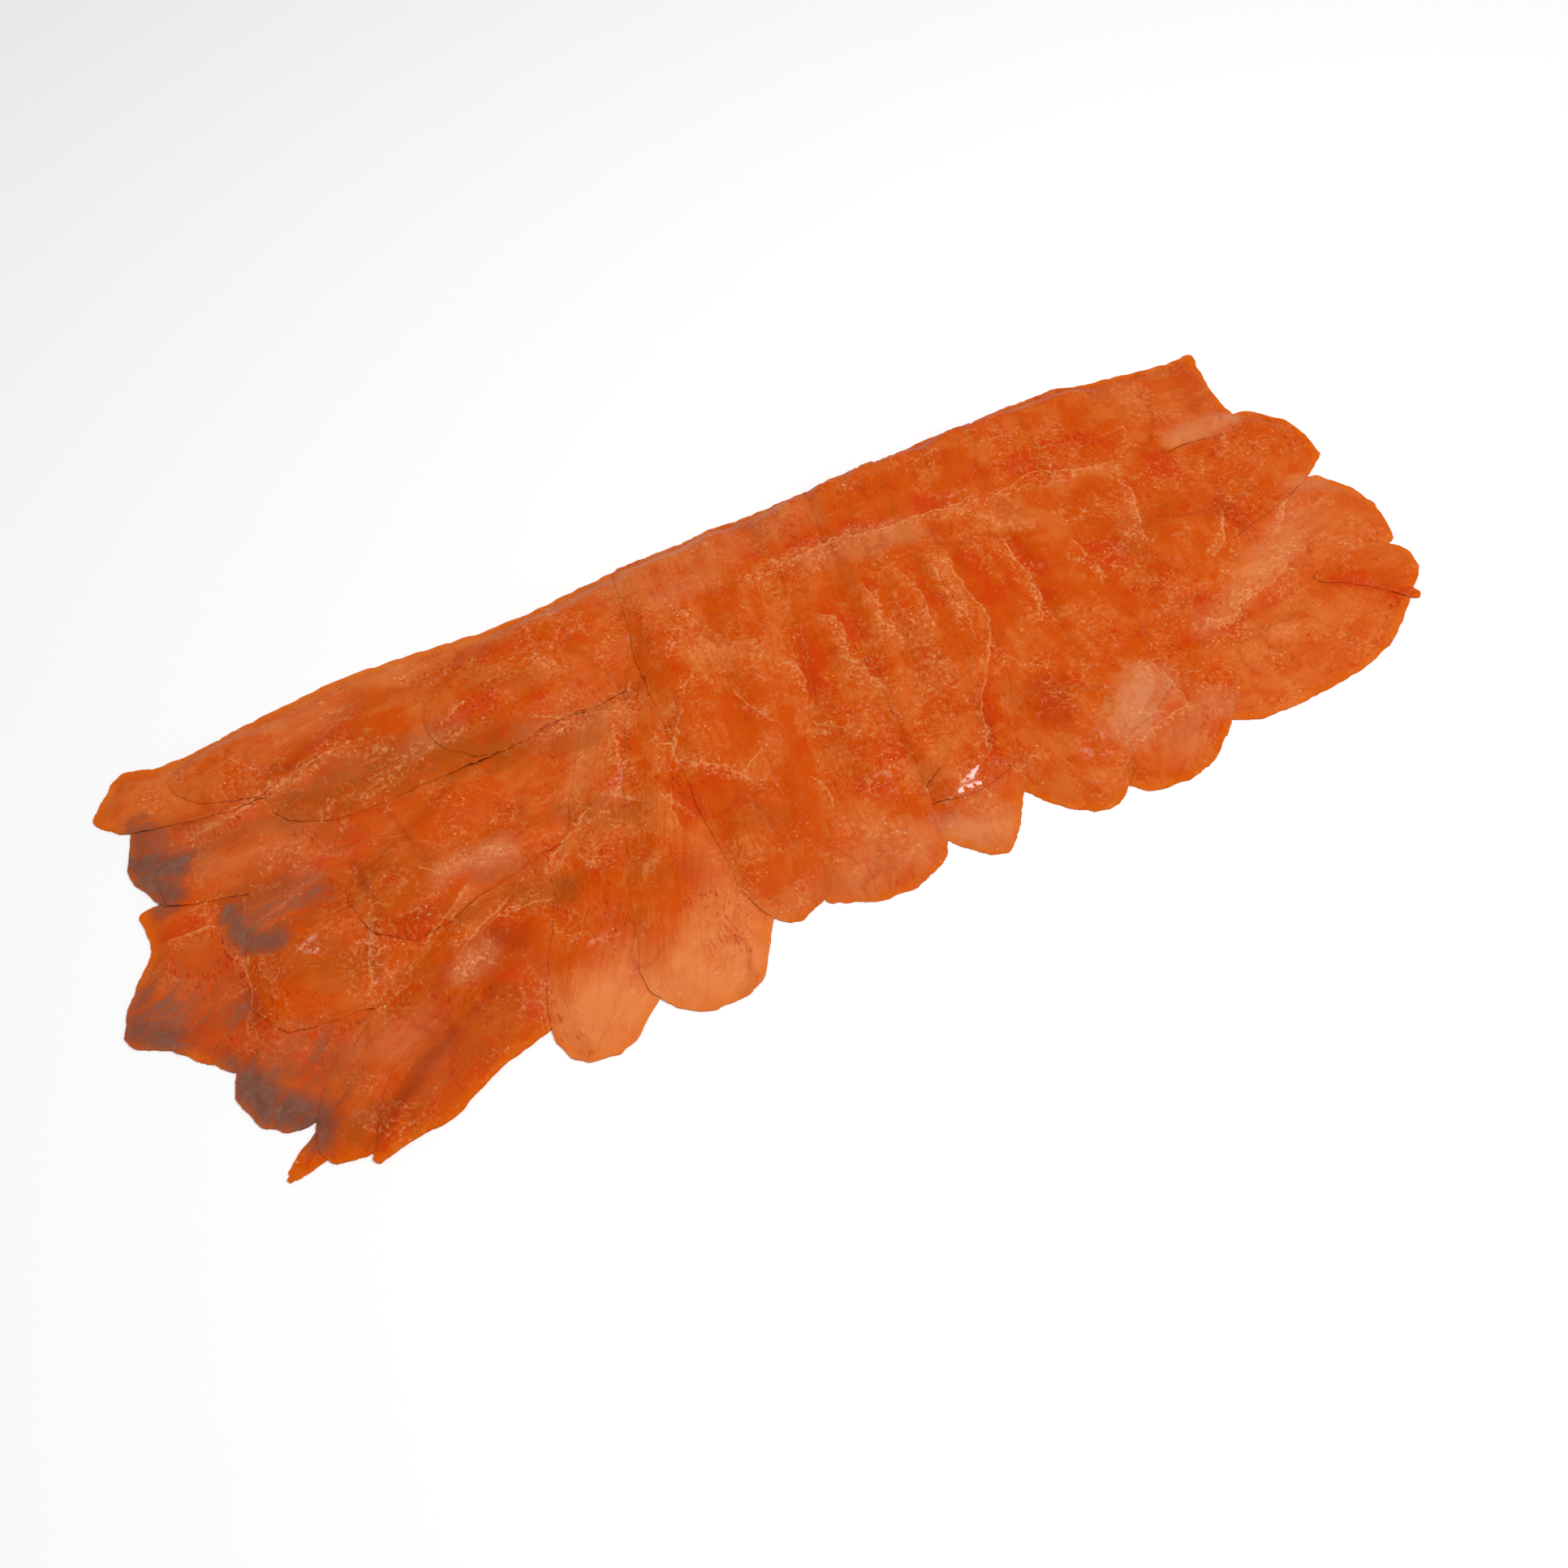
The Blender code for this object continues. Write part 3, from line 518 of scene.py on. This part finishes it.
def laid_sheets(outlines, raster, side):
    """The slices laid on each other from the lowest, each up to the side's top less what comes over it."""
    edges = [CLUNG_EDGE + STANDING_EDGE * one.look.lap * side.standing[raster.cells(one.points)]
             for one in outlines]
    plans = [raster.drawn(one.points, thickness(one, edge, PLANNED), one.kept)
             for one, edge in zip(outlines, edges)]
    height = np.zeros(raster.shape)
    sheets = []
    for number, (outline, edge) in enumerate(zip(outlines, edges)):
        over = sum(plans[number + 1:], np.zeros(raster.shape))
        covered = np.zeros(raster.shape)
        for later, plan in zip(outlines[number + 1:], plans[number + 1:]):
            covered = np.maximum(covered, later.look.lap * (plan > 0))
        cell = raster.cells(outline.points)
        wanted = (side.top - blurred(over, MARGIN_DIP / STEP))[cell]
        clear = spread_out(height, 1)[cell] + CLING
        clear = np.maximum(clear, blurred(clear, REST_BLUR / STEP))
        rim = 1.0 - smooth_step(outline.depth / RIM_WIDTH)
        resting = clear + (height[cell] + CLING - clear) * rim
        on_floor = smooth_step((OFF_FLOOR - resting) / (OFF_FLOOR - ON_FLOOR))
        edge = edge + (outline.look.edge - edge) * on_floor
        thick = np.clip(wanted - resting, thickness(outline, edge, THIN), thickness(outline, edge, THICK))
        least = LEAST_EDGE * (1.0 + on_floor) * edge
        top = np.maximum(blurred(resting + thick, TOP_BLUR / STEP), resting + least)
        bottom = np.maximum(resting - SUNK * rim * (1.0 - on_floor), CLING)
        height = np.maximum(height, raster.drawn(outline.points, top, outline.kept))
        sheets.append(Sheet(outline, covered * side.standing, top, bottom, on_floor))
    return sheets


def tidied(kept):
    """The largest part of a grid's kept corners, with no corner that hangs on by less than a facet."""
    for _ in range(3):
        facets = kept[:-1, :-1] & kept[1:, :-1] & kept[:-1, 1:] & kept[1:, 1:]
        held = np.zeros(kept.shape, dtype=int)
        for di in (0, 1):
            for dj in (0, 1):
                held[di:held.shape[0] - 1 + di, dj:held.shape[1] - 1 + dj] += facets
        crossed = np.zeros(kept.shape, dtype=bool)
        crossed[1:-1, 1:-1] = ((facets[:-1, :-1] & facets[1:, 1:] & ~facets[1:, :-1] & ~facets[:-1, 1:])
                               | (facets[1:, :-1] & facets[:-1, 1:] & ~facets[:-1, :-1] & ~facets[1:, 1:]))
        kept = kept & (held > 0) & ~crossed
    island = np.zeros(kept.shape, dtype=bool)
    middle = np.argwhere(kept)
    start = middle[np.argmin(np.linalg.norm(middle - np.array(kept.shape) / 2, axis=1))]
    island[tuple(start)] = True
    while True:
        grown = spread_out(island, 4) & kept
        if grown.sum() == island.sum():
            return island
        island = grown


def drawn_to_outline(points, depth, kept):
    """The corners at the edge of the kept facets moved out to the outline itself."""
    rim = kept & spread_out(~kept, 1)
    slope_i, slope_j = np.gradient(depth, STEP)
    steep = np.maximum(slope_i ** 2 + slope_j ** 2, LEAST_SLOPE ** 2)
    out_i = np.where(rim, -depth * slope_i / steep, 0.0)
    out_j = np.where(rim, -depth * slope_j / steep, 0.0)
    spot = np.stack([out_i, out_j], axis=-1)
    length = np.linalg.norm(spot, axis=-1, keepdims=True)
    spot *= np.minimum(1.0, LONGEST_DRAW * STEP / np.maximum(length, 1e-9))
    along = points[1, 0] - points[0, 0]
    across = points[0, 1] - points[0, 0]
    return points + (spot @ np.array([along, across])) / STEP


def seen_place(points, heights):
    """Where points on the slices appear in the plane below them, as the marks were measured."""
    eye = np.array(CAMERA_PLACE) / MM
    return eye[:2] + (points - eye[:2]) * (eye[2] / (eye[2] - heights))[..., None] + MARKS_OFFSET


def stroke_mask(places, strokes, seed, fade):
    """How strongly each place is marked by any of the strokes, which fade over this many half widths."""
    wander = sum(
        reach * strayed(places, size, seed + 2 * number)
        for number, (size, reach) in enumerate(STROKE_WANDER)
    )
    mask = np.zeros(places.shape[:-1])
    for x0, y0, x1, y1, half, strength in strokes:
        rough = places + STROKE_STRAY * (1.0 + half) * wander
        run = np.array((x1 - x0, y1 - y0), dtype=float)
        share = np.clip(((rough - (x0, y0)) @ run) / max(run @ run, 1e-9), 0.0, 1.0)
        apart = np.linalg.norm(rough - (np.array((x0, y0)) + share[..., None] * run), axis=-1)
        mask = np.maximum(mask, strength * (1 - smooth_step((apart - STROKE_CORE * half) / (fade * half))))
    return mask


def flake_edges(places):
    """Distance to the nearest flake edge, below 0 on its left, and the painted shade and frayed flesh
    beside it.
    """
    places = places + EDGE_WANDER * strayed(places, EDGE_BENDS, 361)
    nearest = np.full(places.shape[:-1], EDGE_REACH)
    lee_shade, fringe = (np.zeros(places.shape[:-1]) for _ in range(2))
    for clear, dark, line in FLAKE_EDGES:
        best = np.full(places.shape[:-1], FAR)
        for start, end in zip(line[:-1], line[1:]):
            run = np.subtract(end, start).astype(float)
            share = ((places - start) @ run) / (run @ run)
            apart = places - start - np.clip(share, 0.0, 1.0)[..., None] * run
            side = np.sign(apart[..., 0] * run[1] - apart[..., 1] * run[0])
            reach = np.linalg.norm(apart, axis=-1)
            closer = reach < np.abs(best)
            best = np.where(closer, reach * np.where(side == 0, 1, side), best)
            past = np.maximum(np.maximum(-share, share - 1.0), 0.0) * np.linalg.norm(run)
            width = np.where(side > 0, LEE_SHADE_WIDTH, FRINGE_WIDTH)
            beside = np.exp(-(reach / width) ** 2 - (past / PAST_END) ** 2)
            lee_shade = np.maximum(lee_shade, dark * beside * (side > 0))
            fringe = np.maximum(fringe, clear * beside * (side < 0))
        fading = best + np.sign(best) * (1.0 - clear) * FAINTNESS
        nearest = np.where(np.abs(fading) < np.abs(nearest), fading, nearest)
    return nearest, lee_shade, fringe


def sheet_marks(sheet, number, raster, side):
    """What the flesh's finish reads at each corner of a fine slice."""
    look, _, depth, kept, points = sheet.outline
    places = seen_place(points, sheet.top)
    cell = raster.cells(points)
    along, across = np.indices(depth.shape).astype(float)
    first = np.argmax(kept, axis=1)
    last = kept.shape[1] - 1 - np.argmax(kept[:, ::-1], axis=1)
    broad = np.maximum(last - first, LEAST_BREADTH)
    share = (across - first[:, None]) / broad[:, None]
    standing = np.maximum(look.lap * side.standing[cell], sheet.on_floor)
    edge, lee_shade, fringe = flake_edges(places)
    marks = {
        "margin": np.clip(depth, 0.0, REACH),
        "standing": standing,
        # Painted shade, on wetter flesh, in a narrow line beside a covering margin
        "wet_shade": smooth_step(blurred(sheet.covered, WET_SHADE_WIDTH / STEP)[cell] / FULL_COVER),
        "shade": smooth_step(blurred(sheet.covered, SHADE_WIDTH / STEP)[cell] / FULL_COVER),
        "along": along * STEP,
        "across": share * np.median(broad[kept.any(axis=1)]) * STEP,
        "own": np.full(depth.shape, float(number)),
        "on_floor": sheet.on_floor,
        "tone": side.tone[cell],
        "pink": side.pink[cell] * ((side.standing[cell] - CLINGING) / (1.0 - CLINGING)) ** 2,
        "fibre": side.fibre[cell],
        "crease": creases(points),
        "edge": edge,
        "lee_shade": lee_shade,
        "fringe": fringe,
    }
    for name, (strokes, seed, fade) in STROKES.items():
        marks[name] = stroke_mask(places, strokes, seed, fade)
    return marks


def slice_piece(sheet, marks, material):
    """One fine slice: a flat grid cut to its outline, given a wall, and shaped to its heights."""
    look, _, _, kept, points = sheet.outline
    count_i, count_j = kept.shape
    shape = bmesh.new()
    bmesh.ops.create_grid(shape, x_segments=count_i - 1, y_segments=count_j - 1, size=0.5,
                          matrix=Matrix.Diagonal((count_i - 1, count_j - 1, 1, 1)))

    def corner(vertex):
        return round(vertex.co.x + (count_i - 1) / 2), round(vertex.co.y + (count_j - 1) / 2)

    outside = [vertex for vertex in shape.verts if not kept[corner(vertex)]]
    bmesh.ops.delete(shape, geom=outside, context="VERTS")
    loose = [vertex for vertex in shape.verts if not vertex.link_faces]
    bmesh.ops.delete(shape, geom=loose, context="VERTS")
    loose = [edge for edge in shape.edges if not edge.link_faces]
    bmesh.ops.delete(shape, geom=loose, context="EDGES")
    bmesh.ops.solidify(shape, geom=shape.faces[:], thickness=1.0)
    low, high = np.array(CAD_BOX)
    places = []
    middle = sum(vertex.co.z for vertex in shape.verts) / len(shape.verts)
    for vertex in shape.verts:
        spot = corner(vertex)
        level = sheet.top[spot] if vertex.co.z > middle else sheet.bottom[spot]
        x, y = points[spot]
        vertex.co = np.clip((x * MM, y * MM, level * MM), low, high)
        places.append(spot)
    bmesh.ops.recalc_face_normals(shape, faces=shape.faces[:])
    mesh = bpy.data.meshes.new("fine_" + look.node)
    shape.to_mesh(mesh)
    shape.free()
    rows, columns = np.array(places).T
    for name, grid in marks.items():
        layer = mesh.attributes.new(name, "FLOAT", "POINT")
        layer.data.foreach_set("value", grid[rows, columns].astype(np.float32))
    mesh.shade_smooth()
    mesh.set_sharp_from_angle(angle=math.radians(RIM_ANGLE))
    mesh.materials.append(material)
    piece = bpy.data.objects.new("fine_" + look.node, mesh)
    bpy.context.scene.collection.objects.link(piece)
    return piece


class Term:
    """A shader socket in an expression: its operators add Math nodes."""

    def __init__(self, finish, socket):
        self.finish = finish
        self.socket = socket

    def math(self, operation, *values):
        return self.finish.node("ShaderNodeMath", {"operation": operation}, *values)

    def __add__(self, other):
        return self.math("ADD", self, other)

    __radd__ = __add__

    def __sub__(self, other):
        return self.math("SUBTRACT", self, other)

    def __rsub__(self, other):
        return self.math("SUBTRACT", other, self)

    def __mul__(self, other):
        return self.math("MULTIPLY", self, other)

    __rmul__ = __mul__

    def __truediv__(self, other):
        return self.math("DIVIDE", self, other)

    def size(self):
        """The value without its sign."""
        return self.math("ABSOLUTE", self)

    def held(self):
        """The value kept between 0 and 1."""
        return self.finish.node("ShaderNodeClamp", {}, self)

    def rise(self, start, end):
        """0 before start, 1 after end, and smooth between them."""
        smooth = {"interpolation_type": "SMOOTHSTEP"}
        return self.finish.node("ShaderNodeMapRange", smooth, self, start, end)


class Finish:
    """A material and the nodes that it is built from."""

    def __init__(self, name):
        self.material = bpy.data.materials.new(name)
        self.material.use_nodes = True
        self.tree = self.material.node_tree
        self.shader = self.tree.nodes["Principled BSDF"]

    def connect(self, value, socket):
        """Gives a socket another node's result or a fixed value, or leaves it alone for None."""
        if isinstance(value, Term):
            self.tree.links.new(value.socket, socket)
        elif value is not None:
            socket.default_value = value

    def node(self, kind, settings, *values, output=0, **named):
        """A new node with its settings, and its inputs given in their order or by name."""
        made = self.tree.nodes.new(kind)
        for key, setting in settings.items():
            setattr(made, key, setting)
        for number, value in enumerate(values):
            self.connect(value, made.inputs[number])
        for key, value in named.items():
            self.connect(value, made.inputs[key])
        return Term(self, made.outputs[output])

    def mark(self, name):
        """What sheet_marks noted at each corner."""
        return self.node("ShaderNodeAttribute", {"attribute_name": name}, output="Fac")

    def place(self):
        """Place on the piece in millimetres."""
        spot = self.node("ShaderNodeTexCoord", {}, output="Object")
        return self.node("ShaderNodeVectorMath", {"operation": "SCALE"}, spot, Scale=1 / MM)

    def noise(self, place, size, detail=2.0, rough=0.5):
        """Noise from 0 to 1 with bumps of this size, and finer detail on them."""
        return self.node("ShaderNodeTexNoise", {}, Vector=place, Scale=1.0 / size, Detail=detail,
                         Roughness=rough, output="Fac")

    def moved(self, place, size, reach):
        """The place pushed about by noise of this size, by up to reach."""
        push = self.node("ShaderNodeTexNoise", {}, Vector=place, Scale=1.0 / size, output="Color")
        centred = self.node("ShaderNodeVectorMath", {"operation": "SUBTRACT"}, push, (0.5, 0.5, 0.5))
        scaled = self.node("ShaderNodeVectorMath", {"operation": "SCALE"}, centred, Scale=2.0 * reach)
        return self.node("ShaderNodeVectorMath", {"operation": "ADD"}, place, scaled)

    def fibres(self, across, along):
        """A place in units of these sizes across and along the slice, apart from every other slice's."""
        across = self.mark("across") / across
        along = self.mark("along") / along
        return self.node("ShaderNodeCombineXYZ", {}, across, along, self.mark("own") * 7.0)

    def strand(self, place, size, width):
        """Thin winding lines: where noise crosses its middle value."""
        level = self.noise(place, size, 1.0) - 0.5
        return 1.0 - level.size().rise(0.0, width)

    def mix(self, share, first, second):
        """Two colours mixed: the node keeps five sockets for other kinds of value before theirs."""
        others = [None] * 5
        return self.node("ShaderNodeMix", {"data_type": "RGBA"}, share, *others, first, second, output=2)

    def ramp(self, value, *colours):
        """Colours met one after the other as the value goes from 0 to 1."""
        result = colours[0]
        steps = len(colours) - 1
        for number, colour in enumerate(colours[1:]):
            result = self.mix(value.rise(number / steps, (number + 1) / steps), result, colour)
        return result


def rgb(red, green, blue):
    return (red, green, blue, 1.0)


DEEP_ORANGE = rgb(0.54, 0.044, 0.0001)
MID_ORANGE = rgb(0.555, 0.070, 0.0006)
LIGHT_ORANGE = rgb(0.59, 0.112, 0.013)
PALE_FLESH = rgb(0.70, 0.195, 0.046)
PINK_FLESH = rgb(0.71, 0.202, 0.054)
HAZY_FLESH = rgb(0.59, 0.205, 0.088)
OCHRE_FLESH = rgb(0.35, 0.066, 0.004)
# Painted shade for creases and the lines beside margins, and the colour of the flesh's dark dashes
CREASE_SHADE_AND_DASHES = rgb(0.36, 0.028, 0.001)
FOLD_SHADOW = rgb(0.27, 0.036, 0.004)
RED_BROWN = rgb(0.36, 0.066, 0.018)
BROWN_MUSCLE = rgb(0.105, 0.042, 0.028)
GREY_MUSCLE = rgb(0.250, 0.125, 0.088)
THREAD_COLOUR = rgb(0.74, 0.28, 0.095)
SPECK_AND_GLINT_COLOUR = rgb(0.82, 0.44, 0.22)
PAINTED_RIM_GLOW = rgb(0.70, 0.14, 0.002)
FLOOR_WHITE = rgb(0.93, 0.93, 0.93)
SKY_WHITE = rgb(1.0, 1.0, 1.0)

SKY_STRENGTH = 0.42
# Square lamps: name, place and size in metres, power in watts
LAMPS = [
    ("key", (0.48, -0.10, 1.45), 0.5, 11.6),
    ("front", (0.3, -1.1, 1.3), 1.0, 6.4),
    ("fill", (-0.7, 0.0, 1.7), 1.4, 4.4),
]


def moist_flesh():
    """Salmon flesh: mottled orange, with pale threads and specks, fibres, brown muscle and moist gloss."""
    f = Finish("moist_salmon_flesh")
    place = f.place()
    margin, wet_shade, fibre, floor = f.mark("margin"), f.mark("wet_shade"), f.mark("fibre"), f.mark("on_floor")
    threads, brown, fringe = f.mark("threads"), f.mark("brown"), f.mark("fringe")
    lines = f.noise(f.moved(f.fibres(1.3, 16.0), 6.0, 0.8), 1.0, 3.0, 0.6)
    streaks = f.noise(f.moved(f.fibres(5.0, 26.0), 2.5, 0.7), 1.0, 2.0, 0.5)
    clouds = f.noise(place, 34.0, 2.0, 0.5)
    flakes = f.noise(f.moved(place, 9.0, 5.0), 15.0, 2.0, 0.55)
    grit = f.noise(f.moved(place, 3.0, 1.5), 3.2, 3.0, 0.65)
    mottle = f.noise(place, 1.5, 3.0, 0.65)
    patchy = f.noise(place, 19.0, 2.0, 0.6).rise(0.43, 0.60)
    fuzz = (0.26 + 0.62 * patchy + threads + fringe).held()

    # The flesh's tone: 0 is deep orange and 1 is pale. It holds painted shade beside covering margins and
    # flake edges as well as the flesh's own tone
    tone = (0.40 + f.mark("tone") + (clouds - 0.5) * 0.34 + (flakes.rise(0.38, 0.62) - 0.5) * 0.25
            + (streaks - 0.5) * 0.38 + (grit - 0.5) * 0.70 * fuzz + (mottle - 0.5) * 0.42 * fuzz
            + (lines - 0.5) * (0.14 + 0.9 * fibre) - f.mark("shade") * 0.12 - wet_shade * 0.08
            - f.mark("lee_shade") * 0.25 + fringe * 0.14 - f.mark("deep") * 0.38 + f.mark("pale") * 0.36)
    colour = f.ramp(tone.held(), DEEP_ORANGE, MID_ORANGE, LIGHT_ORANGE, PALE_FLESH)
    colour = f.mix((f.mark("pink") * (0.5 + tone)).held(), colour, PINK_FLESH)
    colour = f.mix((f.mark("ochre") * (grit * 2.2 - 0.3)).held(), colour, OCHRE_FLESH)
    dull = (f.mark("haze") * (mottle + streaks * 1.6 + grit * 0.6 - 0.7)).held()
    colour = f.mix(dull * 0.72, colour, HAZY_FLESH)

    # Painted shade in the creases, beside covering margins and in the folds, and the flesh's own short dark
    # dashes
    short_lines = f.node("ShaderNodeVectorMath", {"operation": "MULTIPLY"}, place, (0.95, 0.28, 1.0))
    dashes = f.noise(short_lines, 1.0, 1.0, 0.5).rise(0.57, 0.70)
    dashes = dashes * f.noise(place, 26.0, 1.0, 0.5).rise(0.48, 0.60)
    # Painted shade: the flesh darkened in its creases and along the wet line beside a covering margin; the
    # dashes are dark marks of its own
    dark = (f.mark("crease") * 0.34 + wet_shade * 0.05 + dashes * (0.9 - tone).held()).held()
    colour = f.mix(dark, colour, CREASE_SHADE_AND_DASHES)
    # Painted shadow in the folds
    colour = f.mix((f.mark("fold") * (0.45 + streaks * 0.5)).held() * 0.85, colour, FOLD_SHADOW)

    # Pale threads: on the flakes' borders and ragged edges, in fine webs, and along frayed margins
    borders = 1.0 - (flakes - 0.5).size().rise(0.0, 0.022)
    web = f.strand(f.moved(place, 3.0, 1.2), 12.0, 0.03)
    fine_web = f.strand(f.moved(place, 2.0, 0.8), 3.6, 0.07)
    broken = f.noise(place, 1.6, 2.0, 0.6).rise(0.40, 0.62)
    ragged = f.mark("edge") + (f.noise(place, 1.8, 2.0, 0.6) - 0.5) * 1.8
    ragged = (1.0 - ragged.size().rise(0.1, 0.8)) * (0.45 + 0.55 * broken)
    frayed = 1.0 - (margin + (f.noise(place, 4.0, 3.0, 0.7) - 0.5) * 3.0).rise(0.1, 1.4)
    frayed = frayed * f.noise(place, 7.0, 2.0, 0.5).rise(0.42, 0.60) * (1.0 - floor * 0.8)
    strands = (ragged * 0.85 + (borders * 0.45 + web * 0.30) * patchy * broken.rise(-0.6, 1.0)
               + fine_web * broken * (0.08 + 0.44 * patchy + 0.85 * threads + 0.80 * fringe)
               + threads * broken * 0.45 + frayed * (0.10 + f.mark("standing") * 0.4)).held()
    colour = f.mix(strands * 0.66, colour, THREAD_COLOUR)

    # Specks of fat, which also stand in for tiny painted glints
    spots = f.node("ShaderNodeTexVoronoi", {}, Vector=place, Scale=1 / 2.2, output="Distance")
    chance = f.node("ShaderNodeTexVoronoi", {}, Vector=place, Scale=1 / 2.2, output="Color")
    chance = f.node("ShaderNodeSeparateColor", {}, chance, output=0)
    speck_and_glint = (1.0 - spots.rise(0.10, 0.26)) * chance.rise(0.78, 0.90)
    colour = f.mix((speck_and_glint * (0.12 + 0.5 * threads + 0.5 * patchy)).held(), colour, SPECK_AND_GLINT_COLOUR)

    # Brown muscle, streaked like the flesh that it passes into
    streaky = (streaks - 0.5) * 1.2 + (grit - 0.5) * 0.7 + (lines - 0.5) * 0.4
    stain = brown + streaky * brown.rise(0.0, 0.4)
    muscle = f.mix((streaks * 0.8 + grit * 1.6 - 0.8).held(), BROWN_MUSCLE, GREY_MUSCLE)
    colour = f.mix(stain.rise(0.02, 0.55) * 0.75, colour, RED_BROWN)
    colour = f.mix(stain.rise(0.30, 1.10) * 0.90, colour, muscle)

    # Painted glow: bright thin margins where the flesh lies on the floor, standing in for light shining
    # through the thin flesh
    glow = 1.0 - (margin + (f.noise(place, 6.0, 2.0, 0.5) - 0.5) * 4.0).rise(0.0, 4.5)
    colour = f.mix(glow * floor * (1.0 - brown) * 0.45, colour, PAINTED_RIM_GLOW)
    f.connect(colour, f.shader.inputs["Base Color"])

    # Gloss: a wet film in places, moist flesh between the threads, and dull margins on the floor
    torn = f.noise(f.moved(place, 2.0, 1.0), 3.0, 2.0, 0.6).rise(0.44, 0.53)
    film = f.mark("film").rise(0.10, 0.45) * torn
    dry_rim = (1.0 - margin.rise(1.0, 9.0)) * floor
    roughness = 0.46 + (mottle - 0.5) * 0.22 + strands * 0.10 - wet_shade * 0.08 + dry_rim * 0.34
    f.connect(roughness, f.shader.inputs["Roughness"])
    moist = broken * patchy * margin.rise(6.0, 14.0) * 0.16
    f.connect((film + moist).held(), f.shader.inputs["Coat Weight"])
    for name, value in {
        "Coat Roughness": 0.10,
        "Specular IOR Level": 0.04,
        "Subsurface Weight": 0.22,
        "Subsurface Radius": (1.0, 0.32, 0.12),
        "Subsurface Scale": 2.5 * MM,
    }.items():
        f.connect(value, f.shader.inputs[name])

    fine = f.noise(place, 0.9, 3.0, 0.65)
    height = (lines * (0.15 + 0.7 * fibre) + fine * 0.25 + (mottle * 0.4 + grit * 0.7) * (0.4 + 0.6 * fuzz)
              + strands * 0.6 + streaks * 0.8)
    bump = f.node("ShaderNodeBump", {}, Strength=0.5, Distance=0.4 * MM, Height=height)
    f.connect(bump, f.shader.inputs["Normal"])
    return f.material


def plain_floor():
    finish = Finish("pale_floor")
    finish.connect(FLOOR_WHITE, finish.shader.inputs["Base Color"])
    finish.connect(0.9, finish.shader.inputs["Roughness"])
    shape = bmesh.new()
    bmesh.ops.create_grid(shape, x_segments=1, y_segments=1, size=6.0)
    mesh = bpy.data.meshes.new("floor")
    shape.to_mesh(mesh)
    shape.free()
    mesh.materials.append(finish.material)
    floor = bpy.data.objects.new("floor", mesh)
    bpy.context.scene.collection.objects.link(floor)


def soft_light(name, place, size, power):
    """A square lamp that looks at the middle of the fish."""
    lamp = bpy.data.lights.new(name, "AREA")
    lamp.size = size
    lamp.energy = power
    thing = bpy.data.objects.new(name, lamp)
    bpy.context.scene.collection.objects.link(thing)
    x, y, z = place
    turn = math.atan2(y, x) + math.pi / 2
    tilt = math.atan2(math.hypot(x, y), z)
    thing.location = place
    thing.rotation_euler = (tilt, 0.0, turn)


def studio():
    world = bpy.data.worlds.new("studio")
    bpy.context.scene.world = world
    world.use_nodes = True
    sky = world.node_tree.nodes["Background"]
    sky.inputs["Color"].default_value = SKY_WHITE
    sky.inputs["Strength"].default_value = SKY_STRENGTH
    for lamp in LAMPS:
        soft_light(*lamp)
    view = bpy.context.scene.view_settings
    view.view_transform = "Standard"
    view.look = "None"


def camera():
    lens = bpy.data.cameras.new("camera")
    lens.lens = CAMERA_LENS
    lens.sensor_width = FRAME_WIDTH
    thing = bpy.data.objects.new("camera", lens)
    bpy.context.scene.collection.objects.link(thing)
    thing.location = CAMERA_PLACE
    thing.rotation_euler = [math.radians(angle) for angle in CAMERA_TURN]
    bpy.context.scene.camera = thing


def main():
    camera()
    plain_floor()
    studio()
    flesh = moist_flesh()
    raster = Raster()
    outlines = [fine_outline(look, 20 * number) for number, look in enumerate(LOOKS)]
    side = whole_side(outlines, raster)
    for number, sheet in enumerate(laid_sheets(outlines, raster, side)):
        node = sheet.outline.look.node
        piece = slice_piece(sheet, sheet_marks(sheet, number, raster, side), flesh)
        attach(piece, "root")
        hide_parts(node)
        "brown_salmon_flesh" if "brown" in node else "salmon_flesh"


main()
